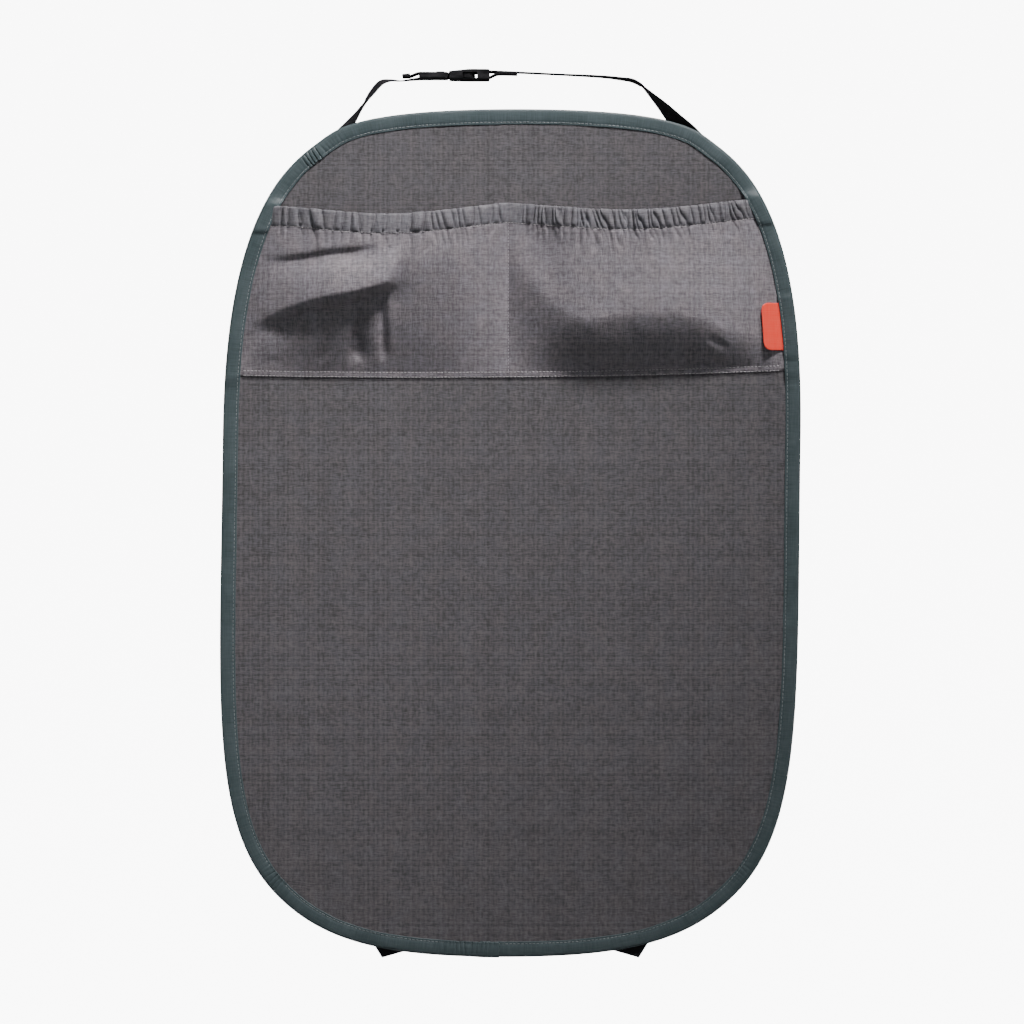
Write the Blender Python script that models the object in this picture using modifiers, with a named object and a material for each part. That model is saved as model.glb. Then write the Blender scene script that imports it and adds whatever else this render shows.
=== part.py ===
"""A car seat protector: a fabric back panel with two gathered pockets, bound in folded tape.

A webbing strap with a side-release buckle goes round the head rest, and an elastic strap is
folded up behind the bottom edge. Metres, +Z up. X runs to the right as the front is seen, the
front faces -Y, and the origin is the centre of the back face of the panel.
"""

import math

import bmesh
import bpy
import numpy as np
from mathutils import Vector
from mathutils.geometry import interpolate_bezier

# Outline of the bound edge, given for the right half
HALF_WIDTH = 0.2226
HALF_HEIGHT = 0.3265
WIDEST_Z = 0.054
TOP_REACH = 0.1374
SHOULDER_INSET = 0.0623
SHOULDER_DROP = 0.0322
SHOULDER_SLOPE = math.radians(37.1)
SHOULDER_REACH = 0.022
SHOULDER_FALL = 0.083
SIDE_RISE = 0.0527
SIDE_FALL = 0.1785
CORNER_INSET = 0.0422
CORNER_LIFT = 0.0521
CORNER_SLOPE = math.radians(47.6)
CORNER_RISE = 0.072
CORNER_REACH = 0.0557
BOTTOM_REACH = 0.0925
HANG_LEAN = 0.0135
SHOULDER_X = HALF_WIDTH - SHOULDER_INSET
SHOULDER_Z = HALF_HEIGHT - SHOULDER_DROP

# Cloth layers
PANEL_THICK = 0.0016
POCKET_THICK = 0.0008
TAPE_THICK = 0.0008
ELASTIC_THICK = 0.0008
LABEL_THICK = 0.0006
GAP = 0.0003
EDGE_ROOM = 0.0008
REST_SHARE = 0.55
REST_RISE = 0.00006
REST_RAMP = 0.004

# Edge binding
TAPE_WIDTH = 0.0120
TAPE_LAP = 0.015
TAPE_RAMP = 0.007
TAPE_STEP = 0.016
TAPE_NOSE = 0.0009

# Pocket
HEM_DROP = 0.0725
POCKET_HEIGHT = 0.1300
HEM_Z = HALF_HEIGHT - HEM_DROP
SEAM_Z = HEM_Z - POCKET_HEIGHT
SEAM_SLOPE = 0.0088
HEM_SLOPE = 0.0165
HEM_HEIGHT = 0.0150
HEM_DIP = 0.0080
DIVIDER_X = -0.0020
POCKET_TUCK = 0.0030
POCKET_BULGE = 0.0300
GATHER_DEPTH = 0.0016
GATHER_PITCH = 0.0088
POCKET_CELLS = 48
FINE_PER_CELL = 3
BODY_ROWS = 11
ELASTIC_LIFT = 0.0030
ELASTIC_DROP = 0.0026

# Folds of the pocket cloth: ends (x, height above the seam), half width and depth, inwards
POCKET_FOLDS = (
    ((-0.190, 0.092), (-0.098, 0.097), 0.0045, 0.0040),
    ((-0.200, 0.026), (-0.086, 0.062), 0.0110, 0.0100),
    ((-0.098, 0.060), (-0.096, 0.006), 0.0085, 0.0090),
    ((-0.205, 0.012), (-0.120, 0.026), 0.0070, 0.0040),
    ((0.030, 0.018), (0.115, 0.022), 0.0130, 0.0110),
    ((0.115, 0.022), (0.170, 0.014), 0.0090, 0.0070),
)

# Label
LABEL_WIDTH = 0.0215
LABEL_HEIGHT = 0.0360
LABEL_RISE = 0.0350
LABEL_Z = SEAM_Z + LABEL_RISE
LABEL_SHOWS = 0.0145
LABEL_CORNER = 0.0050
LABEL_LIFT = 0.0016
LABEL_TILT = math.radians(5.0)

# Head rest strap and its buckle
STRAP_WIDTH = 0.0200
STRAP_THICK = 0.0010
STRAP_HEM = 0.0050
STRAP_SEWN_BACK = 0.0230
STRAP_SEWN_END = 0.0110
TAIL_LENGTH = 0.0070
BUCKLE_X = -0.0705
BUCKLE_Y = STRAP_WIDTH / 2
BUCKLE_RISE = 0.0262
BUCKLE_Z = HALF_HEIGHT + BUCKLE_RISE
BUCKLE_PLACE = Vector((BUCKLE_X, BUCKLE_Y, BUCKLE_Z))
BUCKLE_CLEAR = 0.0004
BUCKLE_CUT = 0.0200
WEB_SLOT_HALF = STRAP_WIDTH / 2 + BUCKLE_CLEAR

# Clip, the buckle's pronged half
CLIP_LENGTH = 0.0223
CLIP_HALF_THICK = 0.0023
CLIP_RAIL = 0.0028
CLIP_HALF_WIDTH = WEB_SLOT_HALF + CLIP_RAIL
CLIP_BAR_HALF = 0.0013
CLIP_OUTER_BAR = 0.0022
CLIP_FIRST_SLOT = 0.0028
CLIP_MIDDLE_BAR = 0.0034
CLIP_SECOND_SLOT = 0.0040
CLIP_PAD_INSET = 0.0010
CLIP_PAD_LENGTH = 0.0060
CLIP_PAD_SHARE = 0.64
CLIP_PAD_RISE = 0.0008
CLIP_ROUNDING = 0.0006
PRONG_LENGTH = 0.0210
PRONG_ROOM = 0.0013
PRONG_WIDTH = 0.0022
PRONG_HALF_THICK = 0.0019
PRONG_ROOT = 0.0020
HOOK_REACH = 0.0030
HOOK_LENGTH = 0.0092
TONGUE_LENGTH = 0.0170
TONGUE_HALF_WIDTH = 0.0018
TONGUE_HALF_THICK = 0.0015

# Socket, the buckle's hollow half
SOCKET_GAP = 0.0008
SOCKET_LENGTH = 0.0313
SOCKET_RAIL = 0.0031
SOCKET_HALF_WIDTH = WEB_SLOT_HALF + SOCKET_RAIL
SOCKET_HALF_THICK = 0.0040
SOCKET_LIP = 0.0007
SOCKET_WALL = 0.0027
SOCKET_END_BAR = 0.0032
SOCKET_SLOT = 0.0034
SOCKET_BAR_HALF = 0.0014
SOCKET_WEB = 0.0015
SOCKET_LIFT = 0.0006
SOCKET_BAR_LIFT = 0.0010
SOCKET_END_SHARE = 0.93
SOCKET_ROUNDING = 0.0009
HOOK_ROOM = 0.0016
SOCKET_INSIDE = SOCKET_HALF_WIDTH - SOCKET_WALL
PRONG_CENTRE = SOCKET_INSIDE - PRONG_ROOM - PRONG_WIDTH / 2

# Elastic strap folded up behind the bottom edge
ELASTIC_WIDTH = 0.0250
FOLD_RADIUS = 0.0016
FOLD_X = 0.0890
FOLD_LIFT = 0.0024
FOLD_Z = FOLD_LIFT - HALF_HEIGHT
FOLD_TILT = math.radians(16.0)
SEWN_LENGTH = 0.0700
SEWN_STITCH = 0.0180
SEWN_RISE = 0.0120
LEG_LENGTH = 0.0560
ELASTIC_CLEAR = 0.0002

# Depths of the layers, from the back face of the panel to the front
SEWN_Y = -(PANEL_THICK + GAP + POCKET_THICK / 2)
CORE_Y = SEWN_Y - POCKET_THICK / 2 - GAP - ELASTIC_THICK / 2
LAYER_STEP = ELASTIC_THICK / 2 + GAP + POCKET_THICK / 2
TAPE_ON_PANEL = PANEL_THICK + GAP + TAPE_THICK / 2
TAPE_ON_POCKET = TAPE_ON_PANEL + POCKET_THICK + GAP
TAPE_ON_LABEL = TAPE_ON_POCKET + LABEL_THICK + GAP
TAPE_ON_HEM = TAPE_ON_POCKET + POCKET_THICK + ELASTIC_THICK + 3 * GAP
TAPE_BACK = GAP + TAPE_THICK / 2
BEHIND_TAPE = GAP + TAPE_THICK + GAP


def clear_scene():
    """Remove every object of the open file."""
    for item in list(bpy.data.objects):
        bpy.data.objects.remove(item, do_unlink=True)


def new_collection(name, parent):
    """Make a collection under another one."""
    made = bpy.data.collections.new(name)
    parent.children.link(made)
    return made


def new_material(name, colour, roughness, metallic=0.0):
    """Make a plain surface from its colour, roughness and metallic value."""
    made = bpy.data.materials.new(name)
    made.use_nodes = True
    shader = made.node_tree.nodes["Principled BSDF"]
    shader.inputs["Base Color"].default_value = (*colour, 1.0)
    shader.inputs["Roughness"].default_value = roughness
    shader.inputs["Metallic"].default_value = metallic
    return made


def object_from_mesh(name, mesh, collection, material):
    """Put a mesh in the scene under a name."""
    made = bpy.data.objects.new(name, mesh)
    collection.objects.link(made)
    if material:
        mesh.materials.append(material)
    return made


def add_solidify(item, thickness):
    """Give an open surface its thickness, half to each side."""
    solid = item.modifiers.new("Thickness", "SOLIDIFY")
    solid.thickness = thickness
    solid.offset = 0.0
    solid.use_even_offset = True
    solid.use_rim = True
    return solid


def smooth_step(value):
    """Go from 0 to 1 with level ends."""
    t = min(max(value, 0.0), 1.0)
    return t * t * (3.0 - 2.0 * t)


def half_outline(steps=48):
    """Points of the bound edge's right half, from the bottom centre up to the top centre."""
    top = Vector((0.0, HALF_HEIGHT))
    shoulder = Vector((SHOULDER_X, SHOULDER_Z))
    side = Vector((HALF_WIDTH, WIDEST_Z))
    corner = Vector((HALF_WIDTH - CORNER_INSET, CORNER_LIFT - HALF_HEIGHT))
    bottom = Vector((0.0, -HALF_HEIGHT))
    along_shoulder = Vector((math.cos(SHOULDER_SLOPE), -math.sin(SHOULDER_SLOPE)))
    along_corner = Vector((math.cos(CORNER_SLOPE), math.sin(CORNER_SLOPE)))
    up = Vector((0.0, 1.0))
    right = Vector((1.0, 0.0))
    curves = (
        (bottom, bottom + right * BOTTOM_REACH, corner - along_corner * CORNER_REACH, corner),
        (corner, corner + along_corner * CORNER_RISE, side - up * SIDE_FALL, side),
        (side, side + up * SIDE_RISE, shoulder + along_shoulder * SHOULDER_FALL, shoulder),
        (shoulder, shoulder - along_shoulder * SHOULDER_REACH, top + right * TOP_REACH, top),
    )
    points = []
    for curve in curves:
        points.extend(interpolate_bezier(*curve, steps)[:-1])
    points.append(top)
    return [(p[0], p[1]) for p in points]


HALF_OUTLINE = half_outline()
HALF_X = np.array([p[0] for p in HALF_OUTLINE])
HALF_Z = np.array([p[1] for p in HALF_OUTLINE])


def lean(x, z):
    """Shift a point of the hanging cloth sideways by its height."""
    return x + HANG_LEAN * z


def half_width_at(z):
    """Half the width of the bound edge at a height."""
    return float(np.interp(z, HALF_Z, HALF_X))


def outline_loop():
    """The whole bound edge from the bottom centre, anticlockwise from the front, with lengths."""
    right = np.column_stack((HALF_X, HALF_Z))
    left = right[::-1][1:] * (-1.0, 1.0)
    loop = np.vstack((right, left))
    steps = np.linalg.norm(np.diff(loop, axis=0), axis=1)
    return loop, np.concatenate(([0.0], np.cumsum(steps)))


def outline_at(lengths):
    """Points and inward normals of the bound edge at given lengths along it."""
    loop, along = outline_loop()
    total = along[-1]
    wrapped = np.mod(lengths, total)

    def at(values):
        values = np.mod(values, total)
        across = np.interp(values, along, loop[:, 0])
        return np.column_stack((across, np.interp(values, along, loop[:, 1])))

    tangent = at(wrapped + 0.004) - at(wrapped - 0.004)
    tangent /= np.linalg.norm(tangent, axis=1)[:, None]
    inward = np.column_stack((-tangent[:, 1], tangent[:, 0]))
    return at(wrapped), inward


def outline_length():
    """Length once round the bound edge."""
    return float(outline_loop()[1][-1])


def seam_z(x):
    """Height of the pocket's bottom seam."""
    return SEAM_Z + SEAM_SLOPE * x


def pocket_span(x):
    """Which pocket a place lies in, as its left and right ends."""
    inner = half_width_at(HEM_Z) - TAPE_WIDTH - POCKET_TUCK
    if x < DIVIDER_X:
        return -inner, DIVIDER_X
    return DIVIDER_X, inner


def pocket_arch(x, left, right, power):
    """Go from 0 at a pocket's sides to 1 in its middle."""
    across = min(max((x - left) / (right - left), 0.0), 1.0)
    return math.sin(math.pi * across) ** power


def hem_top_z(x):
    """Height of the pocket's upper edge, which dips between its sewn ends."""
    left, right = pocket_span(x)
    return HEM_Z + HEM_SLOPE * x - HEM_DIP * pocket_arch(x, left, right, 1.2)


def stitch_z(x):
    """Height of the stitching under the hem."""
    return hem_top_z(x) - HEM_HEIGHT


def pocket_inner_half(z):
    """Half the free width of the pocket between the legs of the binding."""
    return half_width_at(z) - TAPE_WIDTH - POCKET_TUCK


def bulge(x, z):
    """How far the pocket's cloth stands out in front of its sewn depth."""
    inner = pocket_inner_half(z)
    left, right = (-inner, DIVIDER_X) if x < DIVIDER_X else (DIVIDER_X, inner)
    height = (z - seam_z(x)) / (hem_top_z(x) - seam_z(x))
    rise = math.sin(0.5 * math.pi * min(max(height, 0.0), 1.0) ** 0.85)
    depth = POCKET_BULGE * rise * pocket_arch(x, left, right, 1.25)
    return max(depth - fold_depth(x, z) * smooth_step(depth / 0.008), 0.0)


def fold_depth(x, z):
    """How far the folds of the pocket pull the cloth inwards."""
    total = 0.0
    for (x0, z0), (x1, z1), width, depth in POCKET_FOLDS:
        run = Vector((x1 - x0, z1 - z0))
        offset = Vector((x - x0, z - SEAM_Z - z0))
        along = min(max(offset.dot(run) / run.length_squared, 0.0), 1.0)
        distance = (offset - run * along).length
        total += depth * math.exp(-((distance / width) ** 2)) * (0.55 + 0.45 * math.sin(math.pi * along))
    return total


def gather(x, fine_index):
    """Height of the elastic gathers in the hem, from 0 to 1, uneven from one to the next."""
    phase = 2.0 * math.pi * fine_index / FINE_PER_CELL
    uneven = 0.62 + 0.38 * math.sin(x * 2.0 * math.pi / (GATHER_PITCH * 5.3) + 1.1)
    return (0.5 - 0.5 * math.cos(phase + 0.5 * math.sin(x * 190.0))) * uneven


def strip_object(name, rows, thickness, collection, material, mirror=False):
    """A strip of cloth from rows of points across it, given its thickness by a modifier."""
    mesh = bpy.data.meshes.new(name)
    cloth = bmesh.new()
    made = [[cloth.verts.new(point) for point in row] for row in rows]
    for lower, upper in zip(made, made[1:]):
        join_rows(cloth, lower, upper)
    bmesh.ops.recalc_face_normals(cloth, faces=cloth.faces)
    cloth.to_mesh(mesh)
    cloth.free()
    item = object_from_mesh(name, mesh, collection, material)
    if mirror:
        half = item.modifiers.new("Other half", "MIRROR")
        half.use_clip = True
        half.merge_threshold = 0.00005
    add_solidify(item, thickness)
    mesh.shade_smooth()
    return item


def join_rows(cloth, lower, upper):
    """Fill between two rows of points, also where the upper one has several for each cell."""
    share = (len(upper) - 1) // (len(lower) - 1)
    for i in range(len(lower) - 1):
        if share == 1:
            cloth.faces.new((lower[i], lower[i + 1], upper[i + 1], upper[i]))
            continue
        first = i * share
        middle = first + share // 2
        for j in range(first, middle):
            cloth.faces.new((lower[i], upper[j + 1], upper[j]))
        cloth.faces.new((lower[i], lower[i + 1], upper[middle]))
        for j in range(middle, first + share):
            cloth.faces.new((lower[i + 1], upper[j + 1], upper[j]))


def make_back_panel(collection):
    """The flat cloth of the mat, cut to the outline inside the fold of the binding.

    The plain face in the middle of its back, a hair behind the rest, is what lies on the seat.
    """
    count = 96
    edge, inward = outline_at(np.arange(count) * outline_length() / count)
    edge = edge + inward * (TAPE_THICK + GAP + EDGE_ROOM)
    middle = edge * REST_SHARE
    round_middle = middle - inward * REST_RAMP
    mesh = bpy.data.meshes.new("back_panel")
    cloth = bmesh.new()
    rings = []
    sides = ((edge, -PANEL_THICK), (edge, -REST_RISE), (round_middle, -REST_RISE), (middle, 0.0))
    for ring, depth in sides:
        rings.append([cloth.verts.new((lean(x, z), depth, z)) for x, z in ring])
    for outer, inner in zip(rings, rings[1:]):
        join_rows(cloth, outer + outer[:1], inner + inner[:1])
    cloth.faces.new(rings[0])
    cloth.faces.new(rings[-1])
    bmesh.ops.recalc_face_normals(cloth, faces=cloth.faces)
    cloth.to_mesh(mesh)
    cloth.free()
    material = new_material("panel_cloth", (0.085, 0.080, 0.086), 0.85)
    return object_from_mesh("back_panel", mesh, collection, material)


def hem_path(x):
    """Middle of the hem's stack at a place across: its point (x, y) and its forward normal."""
    step = 0.0015

    def depth(at):
        return CORE_Y - bulge(at, 0.5 * (hem_top_z(at) + stitch_z(at)))

    slope = (depth(x + step) - depth(x - step)) / (2.0 * step)
    size = math.hypot(slope, 1.0)
    return Vector((x, depth(x))), Vector((slope / size, -1.0 / size))


def hem_point(x, offset, z):
    """A point of the hem at a distance in front of its middle."""
    centre, normal = hem_path(x)
    place = centre + normal * offset
    return Vector((lean(place.x, z), place.y, z))


def across_at(z, share):
    """Place across the pocket at a height, from its left sewn end to its right one."""
    half = half_width_at(z) - POCKET_TUCK
    side = half - DIVIDER_X if share > 0 else half + DIVIDER_X
    return DIVIDER_X + side * share


def pocket_shares(count):
    """Even shares across both pockets, from -1 to 1, with the divider at 0."""
    return [2.0 * i / count - 1.0 for i in range(count + 1)]


def make_pocket_panel(collection):
    """The gathered pocket: its body, the folded hem round the elastic, and the sewn divider."""
    rows = []
    for k in range(BODY_ROWS + 1):
        row = []
        for share in pocket_shares(POCKET_CELLS):
            guess = across_at(SEAM_Z, share)
            x = guess
            for _ in range(3):
                z = seam_z(x) + (stitch_z(x) - seam_z(x)) * k / BODY_ROWS * 0.94
                x = across_at(z, share)
            row.append(Vector((lean(x, z), SEWN_Y - bulge(x, z), z)))
        rows.append(row)
    hem = (
        (LAYER_STEP * 0.25, 0.00, 0.0),
        (LAYER_STEP, 0.18, 0.7),
        (LAYER_STEP, 0.60, 1.0),
        (LAYER_STEP, 0.90, 0.6),
        (0.0, 1.00, 0.0),
        (-LAYER_STEP, 0.90, -0.4),
        (-LAYER_STEP, 0.50, -0.6),
        (-LAYER_STEP, 0.07, 0.0),
    )
    fine = POCKET_CELLS * FINE_PER_CELL
    for offset, height, puff in hem:
        row = []
        for index, share in enumerate(pocket_shares(fine)):
            x = across_at(HEM_Z - HEM_HEIGHT, share)
            for _ in range(3):
                z = stitch_z(x) + HEM_HEIGHT * height
                x = across_at(z, share)
            puffed = puff * GATHER_DEPTH * gather(x, index) * smooth_step(bulge(x, z) / 0.008)
            row.append(hem_point(x, offset + puffed, z))
        rows.append(row)
    material = new_material("pocket_cloth", (0.145, 0.130, 0.145), 0.7)
    return strip_object("pocket_panel", rows, POCKET_THICK, collection, material)


def make_pocket_elastic(collection):
    """The flat elastic that runs inside the hem and draws it in."""
    rows = []
    for lift in (ELASTIC_LIFT, HEM_HEIGHT - ELASTIC_DROP):
        row = []
        for share in pocket_shares(POCKET_CELLS * FINE_PER_CELL):
            x = across_at(HEM_Z - HEM_HEIGHT, share)
            for _ in range(3):
                z = stitch_z(x) + lift
                x = across_at(z, share)
            row.append(hem_point(x, 0.0, z))
        rows.append(row)
    material = new_material("elastic_cloth", (0.6, 0.6, 0.58), 0.8)
    return strip_object("pocket_elastic", rows, ELASTIC_THICK, collection, material)


def tape_front_depth(x, z):
    """Depth of the binding's front leg, which steps out over the pocket, its hem and the label."""
    def zone(low, high, depth):
        rise = min((z - low) / TAPE_RAMP + 1.0, (high - z) / TAPE_RAMP + 1.0)
        return TAPE_ON_PANEL + (depth - TAPE_ON_PANEL) * smooth_step(rise)

    depth = zone(seam_z(x) - 0.003, hem_top_z(x), TAPE_ON_POCKET)
    depth = max(depth, zone(stitch_z(x) - 0.004, hem_top_z(x) + 0.004, TAPE_ON_HEM))
    if x > 0.0:
        half = LABEL_HEIGHT / 2 + 0.004
        depth = max(depth, zone(LABEL_Z - half, LABEL_Z + half, TAPE_ON_LABEL))
    return depth


def tape_stations():
    """Lengths along the edge where the binding gets a row, closer where its depth changes."""
    total = outline_length()
    places = list(np.linspace(-TAPE_LAP, total, round((total + TAPE_LAP) / TAPE_STEP)))
    loop, along = outline_loop()
    low, high = SEAM_Z - 0.014, HEM_Z + 0.018
    for z in np.arange(low, high, 0.0045):
        right = float(np.interp(z, HALF_Z, along[: len(HALF_Z)]))
        places.extend((right, total - right))
    places.extend((total - TAPE_LAP - 0.004, total - TAPE_LAP - 0.010))
    places.sort()
    kept = [places[0]]
    for place in places[1:]:
        if place - kept[-1] > 0.0022:
            kept.append(place)
    kept[-1] = total
    return np.array(kept)


def make_edge_binding(collection):
    """The tape folded over the whole edge, with its end lapped at the bottom centre."""
    lengths = tape_stations()
    edge, inward = outline_at(lengths)
    total = outline_length()
    rows = []
    for length, point, normal in zip(lengths, edge, inward):
        lift = (TAPE_THICK + GAP) * smooth_step((length - (total - TAPE_LAP - 0.012)) / 0.009)
        row = []
        fold = TAPE_THICK / 2 - lift
        profile = (
            (TAPE_WIDTH, "front"),
            (TAPE_WIDTH * 0.5, "front"),
            (fold + TAPE_NOSE, "front"),
            (fold, "edge"),
            (fold + TAPE_NOSE, "back"),
            (TAPE_WIDTH * 0.96, "back"),
        )
        for inset, leg in profile:
            x, z = point + normal * inset
            depth = {
                "front": -tape_front_depth(x, z) - lift,
                "edge": -PANEL_THICK / 2,
                "back": TAPE_BACK + lift,
            }[leg]
            row.append(Vector((lean(x, z), depth, z)))
        rows.append(row)
    material = new_material("binding_tape", (0.075, 0.095, 0.100), 0.5)
    return strip_object("edge_binding", rows, TAPE_THICK, collection, material)


def make_side_label(collection):
    """The tab caught under the binding, which lies over the pocket and lifts at its free edge."""
    half = LABEL_HEIGHT / 2
    inner = half_width_at(LABEL_Z) - TAPE_WIDTH
    tilt = math.tan(LABEL_TILT)
    on_pocket = SEWN_Y - POCKET_THICK / 2 - GAP - LABEL_THICK / 2
    across = [LABEL_CORNER * (1.0 - math.cos(math.radians(90.0 * step / 4))) for step in range(5)]
    across += [LABEL_CORNER + (LABEL_SHOWS - LABEL_CORNER) * step / 3 for step in range(1, 4)]
    across += [LABEL_WIDTH]
    rows = []
    for place in across:
        corner = max(LABEL_CORNER - place, 0.0)
        reach = half - LABEL_CORNER + math.sqrt(LABEL_CORNER**2 - corner**2)
        free = smooth_step(1.0 - place / LABEL_SHOWS)
        row = []
        for step in range(5):
            rise = reach * (step / 2 - 1.0)
            z = LABEL_Z + rise
            x = inner - LABEL_SHOWS + place - rise * tilt
            stands = bulge(x, z) * 1.03 + (LABEL_LIFT * free if place < LABEL_SHOWS else 0.0)
            row.append(Vector((lean(x, z), on_pocket - stands, z)))
        rows.append(row)
    material = new_material("label_cloth", (0.80, 0.085, 0.045), 0.6)
    return strip_object("side_label", rows, LABEL_THICK, collection, material)


def smooth_route(stations, steps):
    """A smooth curve through stations of any size, with a number of steps between two."""
    given = np.array(stations, float)
    padded = np.vstack((2 * given[0] - given[1], given, 2 * given[-1] - given[-2]))
    made = []
    for i in range(1, len(padded) - 2):
        p0, p1, p2, p3 = padded[i - 1 : i + 3]
        for step in range(steps):
            t = step / steps
            square = (2 * p0 - 5 * p1 + 4 * p2 - p3) * t**2
            cube = (3 * p1 - p0 - 3 * p2 + p3) * t**3
            made.append(0.5 * (2 * p1 + (p2 - p0) * t + square + cube))
    made.append(padded[-2])
    return np.array(made)


def ribbon_rows(route, width):
    """Rows across a webbing from (x, y, z, twist): at twist 0 its width runs along Y."""
    rows = []
    for i, (x, y, z, twist) in enumerate(route):
        before = route[max(i - 1, 0)]
        after = route[min(i + 1, len(route) - 1)]
        tangent = Vector((after[0] - before[0], 0.0, after[2] - before[2])).normalized()
        up = Vector((-tangent.z, 0.0, tangent.x))
        turn = math.radians(twist)
        across = Vector((0.0, 1.0, 0.0)) * math.cos(turn) + up * math.sin(turn)
        centre = Vector((x, y, z))
        rows.append((centre - across * width / 2, centre + across * width / 2))
    return rows


def turn_stations(x, z, radius, start, end, count):
    """Stations on a turn of the webbing round a bar, with its width along Y."""
    made = []
    for step in range(count + 1):
        angle = math.radians(start + (end - start) * step / count)
        made.append((x + radius * math.cos(angle), BUCKLE_Y, z + radius * math.sin(angle), 0.0))
    return made


WEB_RADIUS = CLIP_BAR_HALF + GAP + STRAP_THICK / 2
TURN_INSET = 0.0004
SEWN_WEB_Y = GAP + STRAP_THICK / 2
CROSSING_WEB_Y = BEHIND_TAPE + GAP + STRAP_THICK / 2


def behind_tape_y(twist):
    """Depth of a twisted webbing's middle that keeps its near edge just behind the binding."""
    return CROSSING_WEB_Y + STRAP_WIDTH / 2 * abs(math.cos(math.radians(twist)))


def by_shoulder(side, inset, rise, depth, twist):
    """A station of the webbing, placed from the shoulder on the left (-1) or right (1)."""
    return side * (SHOULDER_X - inset), depth, SHOULDER_Z + rise, twist


def make_top_strap_left(collection, material):
    """Webbing from the left shoulder to the clip, round its middle bar and back as a free tail."""
    bar_x = BUCKLE_X + CLIP_OUTER_BAR + CLIP_FIRST_SLOT + CLIP_MIDDLE_BAR - TURN_INSET
    low = BUCKLE_Z - WEB_RADIUS
    rise = smooth_route(
        (
            by_shoulder(-1, 0.0043, -0.0343, SEWN_WEB_Y, 90.0),
            by_shoulder(-1, 0.0123, -0.0243, SEWN_WEB_Y, 90.0),
            by_shoulder(-1, 0.0193, -0.0138, CROSSING_WEB_Y, 90.0),
            by_shoulder(-1, 0.0288, 0.0027, behind_tape_y(72.0), 72.0),
            by_shoulder(-1, 0.0388, 0.0202, behind_tape_y(40.0), 40.0),
            by_shoulder(-1, 0.0485, 0.0384, BUCKLE_Y + 0.0004, 0.0),
            by_shoulder(-1, 0.0537, 0.0462, BUCKLE_Y + 0.0001, -6.0),
            (BUCKLE_X - 0.0295, BUCKLE_Y, BUCKLE_Z - 0.0052, -7.0),
            (BUCKLE_X - 0.0220, BUCKLE_Y, BUCKLE_Z - 0.0034, -3.0),
            (BUCKLE_X - 0.0145, BUCKLE_Y, BUCKLE_Z - 0.0038, 0.0),
            (BUCKLE_X - 0.0060, BUCKLE_Y, low - 0.0008, 0.0),
        ),
        4,
    )
    under = [(BUCKLE_X + 0.0010, BUCKLE_Y, low, 0.0)]
    turn = turn_stations(bar_x, BUCKLE_Z, WEB_RADIUS, -90.0, 90.0, 8)
    tail = [
        (BUCKLE_X + 0.0010, BUCKLE_Y, BUCKLE_Z + WEB_RADIUS, 0.0),
        (BUCKLE_X - 0.0012, BUCKLE_Y, BUCKLE_Z + WEB_RADIUS - 0.0003, 0.0),
        (BUCKLE_X - 0.0040, BUCKLE_Y, BUCKLE_Z + 0.0007, 0.0),
        (BUCKLE_X - TAIL_LENGTH, BUCKLE_Y, BUCKLE_Z - 0.0006, 0.0),
    ]
    fold = (STRAP_THICK + GAP) / 2
    end_x = BUCKLE_X - TAIL_LENGTH - STRAP_HEM
    end_z = BUCKLE_Z - 0.0008
    hem = turn_stations(end_x, end_z + fold, fold, -90.0, -270.0, 6)
    hem.append((end_x + STRAP_HEM, BUCKLE_Y, end_z + 2 * fold + 0.0004, 0.0))
    route = list(rise) + under + turn + tail + hem
    rows = ribbon_rows(route, STRAP_WIDTH)
    return strip_object("top_strap_left", rows, STRAP_THICK, collection, material)


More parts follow.
